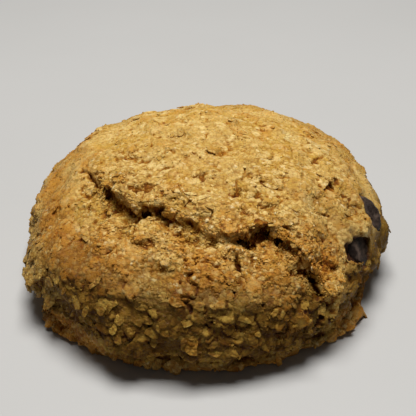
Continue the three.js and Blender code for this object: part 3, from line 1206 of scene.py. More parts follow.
@dataclass
class Flakes:
    """Where oat flakes lie on the dough, one row for each. Millimetres.

    Attributes:
        middle: Middle of each flake.
        out: Direction of each flake's face.
        along: Direction of each flake's long side.
        half: Half length and half width.
        thick: Thickness.
        tone: From 0, brown, to 1, pale.
        source: Index of the surface point under each flake.
        LENGTH_SKEW: Shape of the spread of lengths, most of them short.
        TONE_SKEW: Shape of the spread of tones.
    """

    TRIES: ClassVar[int] = 6
    LENGTH_SKEW: ClassVar[Limits] = (1.4, 3.0)
    WIDTH: ClassVar[Limits] = (0.5, 0.95)
    THICK: ClassVar[Limits] = (0.35, 0.6)
    TONE_SKEW: ClassVar[Limits] = (1.3, 1.8)
    middle: Array
    out: Array
    along: Array
    half: Array
    thick: Array
    tone: Array
    source: Array

    @property
    def across(self) -> Array:
        """Direction of each flake's short side."""
        return np.cross(self.out, self.along)

    @classmethod
    def strew(cls, rng: Draws, places: Array, normals: Array, weights: Array, count: int,
              length: Limits, tilt: Array, gap: float) -> "Flakes":
        """Strews flakes over a surface, no two middles nearer than a gap.

        Args:
            rng: The source of draws.
            places: Points of the surface.
            normals: The surface's outward directions there.
            weights: How likely each point is to take a flake.
            count: How many flakes to try for.
            length: Shortest and longest half length.
            tilt: Steepest lean of a flake off the surface at each point, in radians.
            gap: Least distance between two middles.

        Returns:
            The flakes.
        """
        tries = min(cls.TRIES * count, len(places))
        order = rng.choice(len(places), size=tries, replace=False, p=weights / weights.sum())
        taken: dict[tuple[int, ...], list[int]] = {}
        kept: list[int] = []
        for i in order:
            cell = tuple(np.floor(places[i] / gap).astype(int))
            near = [j for step in itertools.product((-1, 0, 1), repeat=3)
                    for j in taken.get(tuple(np.add(cell, step)), ())]
            if any(np.linalg.norm(places[i] - places[j]) < gap for j in near):
                continue
            taken.setdefault(cell, []).append(i)
            kept.append(i)
            if len(kept) == count:
                break
        n = len(kept)
        lean = np.tan(tilt[kept])[:, None] * rng.uniform(-1, 1, (n, 3)) * rng.uniform(0, 1, (n, 1))
        out = normals[kept] + lean
        out /= np.linalg.norm(out, axis=1, keepdims=True)
        along = np.cross(out, rng.normal(size=(n, 3)))
        along /= np.linalg.norm(along, axis=1, keepdims=True)
        long_half = length[0] + (length[1] - length[0]) * rng.beta(*cls.LENGTH_SKEW, n)
        half = np.stack([long_half, long_half * rng.uniform(*cls.WIDTH, n)], axis=1)
        thick, tone = rng.uniform(*cls.THICK, n), rng.beta(*cls.TONE_SKEW, n)
        return cls(places[kept], out, along, half, thick, tone, np.array(kept))


@dataclass
class Zones:
    """How each part of the crust baked: shares from 0 to 1, one for each vertex.

    Attributes:
        inside: Inside the main fissure.
        wall: On the wall.
        foot: At the toasted foot.
        lip: On the fissure's near lip.
        broken: Where the crust broke open beside the fissure.
        far: On the far part of the top.
        shoulder: On the left shoulder.
        left: On the left of the wall.
        rim: Round the rim of the top, but for its near side.
        right: On the right front of the top.
        lobe: On the smooth lobes beside the chips.
        chip: Against a chip.
    """

    inside: Array
    wall: Array
    foot: Array
    lip: Array
    broken: Array
    far: Array
    shoulder: Array
    left: Array
    rim: Array
    right: Array
    lobe: Array
    chip: Array

    def added(self, base: float, **weights: float) -> Array:
        """A base number, with each named zone's share of its weight added."""
        return base + sum(weight * getattr(self, zone) for zone, weight in weights.items())

    def spared(self, **weights: float) -> Array:
        """What is left of 1 when each named zone takes its weight's share of the rest."""
        return np.prod([1 - weight * getattr(self, zone) for zone, weight in weights.items()], axis=0)


@dataclass(frozen=True)
class FlakePress:
    """Raises the dough to the face of each flake that lies in it. Millimetres, and shares of a flake.

    Attributes:
        reach: How far off a flake's middle the dough is looked at, as a share of its half length.
        corner_stray: How far a corner strays, as a share of the angle from one to the next.
        cut: How far in a flake's sides may lie.
        face: How high a flake's face lies, in thicknesses.
        cup: How far its edge stands over its middle, in thicknesses.
        least: The least rise that counts as part of a flake.
        deepest: How far under a flake's middle the dough is still raised.
    """

    reach: float = 1.25
    corners: int = 6
    corner_stray: float = 0.35
    cut: Limits = (0.70, 1.0)
    face: Limits = (-0.35, 0.45)
    cup: float = 0.2
    most: float = 0.9
    least: float = 0.02
    deepest: float = 1.2
    fade: Limits = (0.90, 1.03)
    mark_fade: Limits = (0.86, 1.0)

    def press(self, rng: Draws, places: Array, flakes: Flakes, belongs: Array, tone: Array) -> None:
        """Raises the dough.

        Args:
            rng: The source of draws.
            places: Vertex places, which are moved.
            flakes: The flakes.
            belongs: How much each vertex belongs to a flake, which is updated.
            tone: Tone of the flake at each vertex, which is updated.
        """
        tree = KDTree(len(places))
        for i, place in enumerate(places):
            tree.insert(place, i)
        tree.balance()
        across = flakes.across
        stray = self.corner_stray
        for k in range(len(flakes.middle)):
            found = tree.find_range(flakes.middle[k], self.reach * flakes.half[k, 0])
            near = np.array([i for _, i, _ in found])
            local = places[near] - flakes.middle[k]
            u = local @ flakes.along[k] / flakes.half[k, 0]
            v = local @ across[k] / flakes.half[k, 1]
            up = local @ flakes.out[k]
            even = np.arange(self.corners) + rng.uniform(-stray, stray, self.corners)
            turn = even * math.pi / (self.corners / 2) + rng.uniform(0, FULL_TURN)
            sides = np.outer(u, np.cos(turn)) + np.outer(v, np.sin(turn))
            ratio = np.maximum((sides / rng.uniform(*self.cut, self.corners)).max(axis=1), 0)
            face = flakes.thick[k] * (rng.uniform(*self.face) + self.cup * ratio**2)
            lift = np.clip(face - up, 0, self.most) * (1 - ramp(ratio, *self.fade))
            lift = np.where(up > -self.deepest, lift, 0)
            on = (lift > self.least) & (ratio < 1.0)
            places[near] += lift[:, None] * flakes.out[k]
            belongs[near[on]] = 1 - ramp(ratio[on], *self.mark_fade)
            tone[near[on]] = flakes.tone[k]


@dataclass
class Dough:
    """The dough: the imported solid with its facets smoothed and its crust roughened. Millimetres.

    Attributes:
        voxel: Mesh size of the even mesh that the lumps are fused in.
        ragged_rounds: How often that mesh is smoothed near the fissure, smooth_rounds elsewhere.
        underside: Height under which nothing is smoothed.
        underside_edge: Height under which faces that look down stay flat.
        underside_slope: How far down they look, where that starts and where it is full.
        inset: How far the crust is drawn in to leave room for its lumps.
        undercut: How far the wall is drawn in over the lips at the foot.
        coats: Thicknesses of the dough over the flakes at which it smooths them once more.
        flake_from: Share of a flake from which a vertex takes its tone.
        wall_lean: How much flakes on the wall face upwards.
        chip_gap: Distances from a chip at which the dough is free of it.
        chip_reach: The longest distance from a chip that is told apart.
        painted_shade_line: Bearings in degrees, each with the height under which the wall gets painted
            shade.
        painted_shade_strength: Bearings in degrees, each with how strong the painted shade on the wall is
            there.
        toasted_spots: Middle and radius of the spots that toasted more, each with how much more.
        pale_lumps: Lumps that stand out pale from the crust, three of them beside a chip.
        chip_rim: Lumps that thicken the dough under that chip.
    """

    voxel: float = 0.285
    smooth_rounds: int = 12
    smooth_factor: float = 0.5
    ragged_rounds: int = 5
    ragged_reach: float = 6.0
    underside: float = 0.2
    underside_edge: float = 1.0
    underside_slope: Limits = (0.55, 0.9)
    inset: float = 0.50
    undercut: float = 1.5
    undercut_from: Limits = (3.8, 6.0)
    undercut_to: Limits = (8.0, 16.0)
    lump_size: float = 4.6
    lump_height: float = 0.42
    swell_size: float = 7.0
    swell_height: float = 0.45
    broken_size: float = 2.9
    broken_height: float = 0.5
    warp_size: float = 2.8
    crack_size: float = 5.0
    crack_depth: float = 0.9
    crack_half: Limits = (0.02, 0.12)
    slit_half: float = 0.30
    slit_depth: float = 1.3
    slit_floor: float = 9.0
    granule_size: float = 1.15
    granule_height: float = 0.45
    fine_size: float = 0.85
    fine_height: float = 0.09
    pore_size: float = 2.0
    pore_share: float = 0.16
    pore_depth: float = 0.55
    pore_edge: Limits = (0.08, 0.26)
    coat_size: float = 5.0
    coats: tuple[float, ...] = (0.0, 0.15, 0.3, 0.45)
    small_flakes: int = 1500
    small_half: Limits = (0.6, 1.4)
    small_gap: float = 0.85
    large_flakes: int = 1000
    large_half: Limits = (1.1, 2.7)
    large_gap: float = 1.8
    flake_from: float = 0.3
    wall_lean: float = 0.45
    chip_gap: Limits = (0.5, 1.6)
    chip_reach: float = 4.0
    filler_growth: float = 1.1
    filler_sink: float = 1.6
    most_triangles: int = 192_000
    painted_shade_line: Path = (
        (-180, 16), (-165, 19), (-150, 20), (-120, 21), (-93, 20.3), (-83, 20), (-70, 18.8), (-60, 18),
        (-50, 11), (-46, 14), (-42, 18), (-36, 18), (-28, 16.5), (-10, 17.5), (20, 15), (60, 13), (120, 13),
        (180, 16),
    )
    painted_shade_edge: Limits = (-5, 1.5)
    painted_shade_strength: Path = ((-180, 0.42), (-150, 0.52), (-132, 0.95), (130, 0.95), (180, 0.42))
    toasted_spots: tuple[tuple[Point, float, float], ...] = (
        ((-17.0, -29.0, 20.5), 10.0, 0.22), ((-27.0, -21.0, 19.0), 9.0, 0.15),
    )
    melt: float = 0.97
    melt_reach: Limits = (0.15, 0.65)
    pale_lumps: tuple[Lump, ...] = (
        Lump((-7.1, -29.4, 20.6), (2.3, 2.0, 2.0)), Lump((26.8, -18.6, 18.0), (1.9, 1.6, 1.5)),
        Lump((28.6, -16.2, 17.8), (1.7, 1.5, 1.6)), Lump((30.6, -15.2, 17.6), (1.8, 1.6, 1.7)),
    )
    chip_rim: tuple[Lump, ...] = (
        Lump((27.3, -22.4, 14.2), (1.4, 1.2, 1.3)), Lump((29.4, -21.8, 12.5), (1.5, 1.2, 1.3)),
        Lump((31.2, -20.2, 11.5), (1.4, 1.3, 1.3)),
    )
    seed: int = 11
    ledge_seed: int = 12
    oat_share: float = 0.8
    shape: DomeShape = field(default_factory=DomeShape)
    fissure_crumb: FissureCrumb = field(default_factory=FissureCrumb)
    crack_crumb: CrackCrumb = field(default_factory=CrackCrumb)
    foot_lip: FootLip = field(default_factory=FootLip)
    chip_rims: ChipRims = field(default_factory=ChipRims)
    flake_press: FlakePress = field(default_factory=FlakePress)
    finish: BakedFinish = field(default_factory=BakedFinish)

    def lumps(self, rng: Draws, probe: Probe) -> list[Lump]:
        """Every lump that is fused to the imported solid.

        Args:
            rng: The source of draws.
            probe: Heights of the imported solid.

        Returns:
            The lumps.
        """
        lumps = self.fissure_crumb.fill(rng, probe, self.shape)
        lumps += self.foot_lip.lumps(rng)
        lumps += self.crack_crumb.fill(rng, probe, self.shape)
        lumps += (*self.pale_lumps, *self.chip_rim)
        lumps += self.chip_rims.lumps(rng)
        return lumps + self.fissure_crumb.ledge(np.random.default_rng(self.ledge_seed), probe, self.shape)

    def fill_pockets(self, made: Bmesh) -> None:
        """Fills the deep end of each chip's pocket, so that no gap shows beside the chip.

        Args:
            made: The bmesh to add to.
        """
        for name in chip_nodes():
            chip = merged_copy(name)
            middle = middle_of(chip)
            inwards = Vector((-middle.x, -middle.y, -middle.z / 2)).normalized()
            growth = Vector([self.filler_growth] * 3)
            bmesh.ops.scale(chip, vec=growth, space=Matrix.Translation(-middle), verts=chip.verts)
            bmesh.ops.translate(chip, vec=inwards * self.filler_sink * MM, verts=chip.verts)
            holder = mesh_of("filler", chip)
            made.from_mesh(holder)
            bpy.data.meshes.remove(holder)

    def remeshed(self, rng: Draws) -> Mesh:
        """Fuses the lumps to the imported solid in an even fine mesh, its facets smoothed away.

        Args:
            rng: The source of draws.

        Returns:
            The mesh.
        """
        made = merged_copy("cookie")
        for lump in self.lumps(rng, Probe(made)):
            lump.add_to(made)
        self.fill_pockets(made)
        holder = object_of("dough_coarse", mesh_of("dough_coarse", made))
        remesh = holder.modifiers.new("even", "REMESH")
        remesh.mode = "VOXEL"
        remesh.voxel_size = self.voxel * MM
        mesh = applied(holder)
        even = bmesh.new()
        even.from_mesh(mesh)
        self.drop_islands(even)
        loose = [v for v in even.verts if v.co.z > self.underside * MM]
        off = path_distance(np.array([v.co for v in loose]) / MM, self.shape.fissure)
        calm = [v for v, distance in zip(loose, off) if distance > self.ragged_reach]
        for done in range(self.smooth_rounds):
            smooth(even, loose if done < self.ragged_rounds else calm, self.smooth_factor)
        even.to_mesh(mesh)
        even.free()
        mesh.name = "dough"
        return mesh

    def drop_islands(self, made: Bmesh) -> None:
        """Takes away every bit of a bmesh that doesn't hang together with its lowest vertex.

        Args:
            made: The bmesh.
        """
        joined = {min(made.verts, key=lambda v: v.co.z)}
        front = list(joined)
        while front:
            others = {e.other_vert(v) for v in front for e in v.link_edges} - joined
            joined |= others
            front = list(others)
        bmesh.ops.delete(made, geom=[v for v in made.verts if v not in joined], context="VERTS")

    def thinned(self, mesh: Mesh) -> Mesh:
        """Thins out the mesh where it is flat or smooth, such as the underside.

        Args:
            mesh: The fine mesh.

        Returns:
            The thinned mesh, with the same marks.
        """
        holder = object_of("dough_fine", mesh)
        thin = holder.modifiers.new("thin", "DECIMATE")
        thin.ratio = self.most_triangles / (2 * len(mesh.polygons))
        return applied(holder)

    def chip_distance(self, places: Array) -> Array:
        """Distance from each place to the nearest chip, as far as chip_reach.

        Args:
            places: Vertex places in millimetres.

        Returns:
            One distance for each place.
        """
        reach = self.chip_reach
        distance = np.full(len(places), reach)
        for name in chip_nodes():
            made = merged_copy(name)
            tree = BVHTree.FromBMesh(made)
            low, high = (np.array(corner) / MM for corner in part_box(name))
            for i in np.flatnonzero(((places > low - reach) & (places < high + reach)).all(axis=1)):
                spot, normal, _, far = tree.find_nearest(Vector(places[i]) * MM)
                inside = (Vector(places[i]) * MM - spot).dot(normal) < 0
                distance[i] = min(distance[i], 0.0 if inside else far / MM)
            made.free()
        return distance

    def zones(self, places: Array) -> Zones:
        """Works out how each part of the crust baked, by limits in millimetres.

        Args:
            places: Vertex places in millimetres.

        Returns:
            The zones' shares at each place.
        """
        x, y, z = places.T
        wall = 1 - ramp(z, 10, 18)
        off = path_distance(places, self.shape.fissure)
        lips = self.shape.spread_foot(places) * (1 - ramp(z, 4.0, 6.5))
        return Zones(
            inside=self.shape.inside_fissure(places),
            wall=wall,
            foot=np.maximum(1 - ramp(z, 0.8, 3.2), lips),
            lip=(1 - ramp(off, 3, 13)) * ramp(-y, 14, 26) * (1 - wall),
            broken=(1 - ramp(off, 2.5, 9)) * ramp(z, 12, 17),
            far=ramp(y, -8, 10) * ramp(z, 15, 21),
            shoulder=ramp(-x, 20, 28) * ramp(z, 13, 18) * (1 - ramp(y, 2, 18)),
            left=ramp(-x, 20, 28) * (1 - ramp(z, 13, 18)) * (1 - ramp(y, 0, 12)),
            rim=ramp(np.hypot(x, y), 24, 33) * ramp(z, 14, 18) * (1 - ramp(-y, 14, 24)),
            right=ramp(x, 14, 22) * ramp(z, 15, 19) * ramp(-y, 8, 16),
            lobe=ramp(x, 30, 34) * (1 - ramp(y, 4, 14)) * ramp(y, -30, -22),
            chip=1 - ramp(self.chip_distance(places), *self.chip_gap),
        )

    def build(self) -> Piece:
        """Builds the dough's mesh and its marks.

        Returns:
            The dough's object.
        """
        rng = np.random.default_rng(self.seed)
        mesh = self.remeshed(rng)
        places, normals = places_of(mesh), normals_of(mesh)
        zone = self.zones(places)
        flat = ramp(-normals[:, 2], *self.underside_slope) * (places[:, 2] < self.underside_edge)
        free = (1 - flat) * zone.spared(chip=0.8)
        places = self.raise_lumps(places, normals, zone, free)
        move_to(mesh, places)
        belongs, tone = self.lay_flakes(rng, mesh, places, zone, free)
        self.coat(mesh, zone)
        places, draw, pore = self.roughen(mesh, zone, free, belongs)
        tone = np.where(belongs > self.flake_from, tone, draw)
        self.mark_crust(mesh, places, zone, belongs, tone, pore)
        mesh = self.thinned(mesh)
        mesh.name = "dough"
        shade(mesh, True)
        return object_of("dough", mesh)

    def raise_lumps(self, places: Array, normals: Array, zone: Zones, free: Array) -> Array:
        """Raises the crust's soft lumps and opens the cracks between some of them.

        Args:
            places: Vertex places.
            normals: The outward directions there.
            zone: Shares of the crust's zones.
            free: How far each vertex may move, from 0 to 1.

        Returns:
            The new places.
        """
        warp = np.stack([swell(places, self.warp_size, seed) for seed in (13, 14, 15)], axis=1)
        lump = swell(places + 0.6 * warp, self.lump_size, 1) + 0.5 * swell(places, 0.5 * self.lump_size, 3)
        rise = self.lump_height * lump * zone.added(1, far=-0.2, shoulder=-0.25, lobe=-0.5)
        rise += self.swell_height * swell(places, self.swell_size, 5)
        rise -= self.inset * zone.added(1, wall=0.35) * zone.spared(foot=1)
        low = ramp(places[:, 2], *self.undercut_from) * (1 - ramp(places[:, 2], *self.undercut_to))
        rise -= self.undercut * self.shape.spread_foot(places) * low
        rise += self.broken_height * zone.broken * swell(places, self.broken_size, 6)
        raised = places + (rise * free)[:, None] * normals
        first, second, _ = grains(raised + 1.4 * warp, self.crack_size, 9)
        crack = (1 - ramp(second - first, *self.crack_half)) * ramp(swell(places, 6.0, 33), 0.0, 0.35)
        depth = self.crack_depth * crack * zone.added(1, far=-0.5, shoulder=-0.5) * zone.spared(lobe=0.8)
        off = np.min([path_distance(raised + 0.3 * warp, path) for path in self.shape.slits], axis=0)
        slit = 1 - ramp(off, 0.5 * self.slit_half, 1.6 * self.slit_half)
        depth += self.slit_depth * slit * (places[:, 2] > self.slit_floor)
        return raised - (depth * free)[:, None] * normals

    def lay_flakes(self, rng: Draws, mesh: Mesh, places: Array, zone: Zones,
                   free: Array) -> tuple[Array, Array]:
        """Lays small and large oat flakes in the crust.

        Args:
            rng: The source of draws.
            mesh: The dough's mesh, which is changed.
            places: Its vertex places, which are moved.
            zone: Shares of the crust's zones.
            free: How far each vertex may move, from 0 to 1.

        Returns:
            How much each vertex belongs to a flake, and the tone of that flake.
        """
        belongs, tone = np.zeros(len(places)), np.full(len(places), 0.5)
        likely = free * zone.added(0.7, wall=0.6) * zone.spared(inside=0.85, chip=1, broken=0.6, lobe=0.85)
        likely = np.clip(likely, LEAST_WEIGHT, None)
        tilt = zone.added(0.20, wall=0.12, far=-0.06, shoulder=-0.06)
        out = soft_normals(mesh) + np.outer(self.wall_lean * zone.wall, (0, 0, 1))
        for count, half, gap in ((self.small_flakes, self.small_half, self.small_gap),
                                 (self.large_flakes, self.large_half, self.large_gap)):
            flakes = Flakes.strew(rng, places, out, likely, count, half, tilt, gap)
            self.flake_press.press(rng, places, flakes, belongs, tone)
        move_to(mesh, places)
        return belongs, tone

    def coat(self, mesh: Mesh, zone: Zones) -> None:
        """Softens the flakes' edges where the dough ran over them.

        Args:
            mesh: The dough's mesh.
            zone: Shares of the crust's zones.
        """
        thick = 0.6 * swell(places_of(mesh), self.coat_size, 71)
        thick += zone.added(0, far=0.35, shoulder=0.15, lobe=0.6, lip=0.2, broken=-0.3, wall=-0.25)
        made = bmesh.new()
        made.from_mesh(mesh)
        made.verts.ensure_lookup_table()
        for least in self.coats:
            smooth(made, [made.verts[i] for i in np.flatnonzero(thick > least)], self.smooth_factor)
        made.to_mesh(mesh)
        made.free()

    def roughen(self, mesh: Mesh, zone: Zones, free: Array, belongs: Array) -> tuple[Array, Array, Array]:
        """Raises granules where the crust broke, and sinks pores.

        Args:
            mesh: The dough's mesh, which is changed.
            zone: Shares of the crust's zones.
            free: How far each vertex may move, from 0 to 1.
            belongs: How much each vertex belongs to a flake.

        Returns:
            The new vertex places, a number for the granule and the pore's share at each vertex.
        """
        places, normals = places_of(mesh), normals_of(mesh)
        granule_at, _, draw = grains(places, self.granule_size, 2)
        crumbly = ramp(np.maximum(zone.broken, 0.7 * zone.lip), 0.2, 0.7)
        granule = (0.6 - np.clip(granule_at, 0, 0.9)) * crumbly * (1 - 0.7 * belongs)
        pore_at, _, pore_draw = grains(places, self.pore_size, 4)
        pore = (1 - ramp(pore_at, *self.pore_edge)) * (pore_draw < self.pore_share) * zone.spared(far=0.7)
        rise = self.granule_height * granule + self.fine_height * swell(places, self.fine_size, 7)
        rise -= self.pore_depth * pore * (1 - 0.6 * belongs)
        places = places + (rise * free)[:, None] * normals
        places[:, 2] = np.maximum(places[:, 2], 0)
        move_to(mesh, places)
        return places, draw, pore

    def mark_crust(self, mesh: Mesh, places: Array, zone: Zones, belongs: Array, tone: Array,
                   pore: Array) -> None:
        """Stores what the finish reads: flakes, toasting, painted shade in pits and hollows and on the
        wall, inner crumb and melted chocolate.

        Args:
            mesh: The dough's mesh.
            places: Its vertex places.
            zone: Shares of the crust's zones.
            belongs: How much each vertex belongs to a flake.
            tone: Tone of the flake or granule at each vertex.
            pore: The pore's share at each vertex.
        """
        reach = [np.linalg.norm((places - lump.middle) / lump.half, axis=1) for lump in self.pale_lumps]
        near = 1 - ramp(np.min(reach, axis=0), 1.05, 1.45)
        belongs, tone = np.maximum(belongs, 0.45 * near), np.where(near > self.flake_from, 0.7, tone)
        out = soft_normals(mesh, 12)
        fine, broad = (((places - softened(mesh, places, rounds)) * out).sum(axis=1) for rounds in (10, 90))
        # Painted shade where the crust dips below the crust round it.
        hollow_shade = 0.6 * ramp(-fine, 0.03, 0.18) + 0.35 * ramp(-broad, 0.08, 0.6)
        hollow_shade *= zone.added(1, wall=0.9) * zone.spared(lobe=0.6, foot=0.8)
        grain = zone.added(0.75, far=-0.35, shoulder=-0.25, broken=0.3, lip=0.2, lobe=-0.45)
        values = {
            Mark.FLAKE: belongs,
            Mark.TONE: tone,
            Mark.PIT: np.clip(np.maximum(pore * zone.spared(foot=1), hollow_shade), 0, 1),
            Mark.TOAST: np.clip(self.toasting(places, zone, broad) * (1 - 0.7 * near), 0, 1.4),
            Mark.CRUMB: 0.6 * zone.inside,
            Mark.STAIN: self.melted(places),
            Mark.SHADE: self.painted_shade(places, zone),
            Mark.GRAIN: np.clip(grain * (1 - 0.65 * belongs), 0, 1),
        }
        for name, numbers in values.items():
            mark(mesh, name, numbers)

    def toasting(self, places: Array, zone: Zones, broad: Array) -> Array:
        """How much the crust toasted: at the foot and the lip, on its rim and where it stands out.

        Args:
            places: Vertex places.
            zone: Shares of the crust's zones.
            broad: How far each vertex stands out from the crust round it.

        Returns:
            One number for each vertex, about 0 to 1.
        """
        toast = zone.added(0.06, lip=0.24, foot=0.58, shoulder=0.25, wall=0.05)
        toast += zone.added(0, inside=-0.5, far=0.03, lobe=-0.2)
        toast += 0.32 * swell(places, 9.0, 21) + zone.added(0.24, far=0.22) * swell(places, 4.0, 22)
        toast += 0.30 * ramp(broad, 0.0, 0.5)
        toast += 0.32 * ramp(np.hypot(places[:, 0], places[:, 1]), 24, 35) * ramp(places[:, 2], 14, 19)
        for middle, radius, amount in self.toasted_spots:
            toast += amount * (1 - ramp(np.linalg.norm(places - middle, axis=1), 0.4 * radius, radius))
        return toast

    def painted_shade(self, places: Array, zone: Zones) -> Array:
        """Painted shade: how much darker the crust is drawn under a line round the wall, and a little on
        the rim and the right front of the top.

        Args:
            places: Vertex places.
            zone: Shares of the crust's zones.

        Returns:
            A share from 0 to 1 for each vertex.
        """
        bearing = bearing_of(places)
        # The line under which the wall gets painted shade, made uneven.
        line = np.interp(bearing, *np.transpose(self.painted_shade_line)) + 0.9 * swell(places, 5.0, 81)
        painted_shade = (1 - ramp(places[:, 2] - line, *self.painted_shade_edge)) * zone.spared(foot=0.95)
        painted_shade *= np.interp(bearing, *np.transpose(self.painted_shade_strength))
        # Painted shade on the sides of the top and its right front, where less light falls.
        painted_side_shade = np.maximum((0.14 + 0.20 * ramp(places[:, 0], 21, 27)) * zone.right, 0.22 * zone.rim)
        return np.maximum(painted_shade, painted_side_shade)

    def melted(self, places: Array) -> Array:
        """How much melted chocolate has stained the dough at each place, from 0 to 1."""
        distance = self.chip_distance(places) + 0.25 * swell(places, 1.4, 31)
        return self.melt * (1 - ramp(distance, *self.melt_reach))

    def dress(self, piece: Piece) -> None:
        """Gives the dough its finish."""
        piece.data.materials.append(self.finish.material("baked_dough", self.oat_share))


@dataclass(frozen=True)
class PaleFlake:
    """One pale flake that shows clearly. Millimetres, and a turn in degrees in the flake's own face."""

    at: Point
    half: Limits
    turn: float = 0.0


PALE_FLAKES = (
    PaleFlake((0.0, -26.5, 22.5), (1.5, 0.8), -30), PaleFlake((-3.0, -17.0, 28.0), (1.2, 0.4), -15),
    PaleFlake((-1.0, -18.0, 27.5), (2.0, 0.6), 10), PaleFlake((17.0, 8.5, 25.5), (2.0, 1.4), 20),
    PaleFlake((23.0, 8.5, 24.0), (2.2, 1.4), 10), PaleFlake((26.0, 7.5, 22.5), (1.3, 1.0), 40),
    PaleFlake((20.5, -5.0, 25.0), (1.6, 1.2), 60), PaleFlake((12.0, -5.0, 27.5), (1.6, 1.1), -20),
    PaleFlake((-6.0, 0.0, 28.5), (1.4, 0.9), 0), PaleFlake((0.0, -13.0, 27.5), (2.2, 1.4), 25),
    PaleFlake((-18.5, -34.5, 15.5), (2.0, 1.6), 0), PaleFlake((-29.0, -22.0, 19.0), (1.7, 1.2), 80),
    PaleFlake((-20.5, -31.5, 18.0), (1.6, 0.6), 60), PaleFlake((-16.0, -36.5, 13.5), (1.3, 0.9), 70),
    PaleFlake((-5.5, -36.5, 17.5), (1.4, 0.8), -20), PaleFlake((-3.5, -38.0, 14.0), (1.2, 0.8), 30),
    PaleFlake((-8.0, -35.5, 18.0), (2.3, 0.9), 10), PaleFlake((6.5, -37.5, 14.0), (1.7, 0.6), -35),
    PaleFlake((12.0, -36.5, 14.5), (1.0, 0.5), 40), PaleFlake((8.5, -35.0, 17.0), (1.4, 0.5), -35),
    PaleFlake((22.0, -31.0, 11.5), (1.7, 1.0), 70), PaleFlake((28.5, -23.5, 2.5), (1.7, 0.8), 0),
)


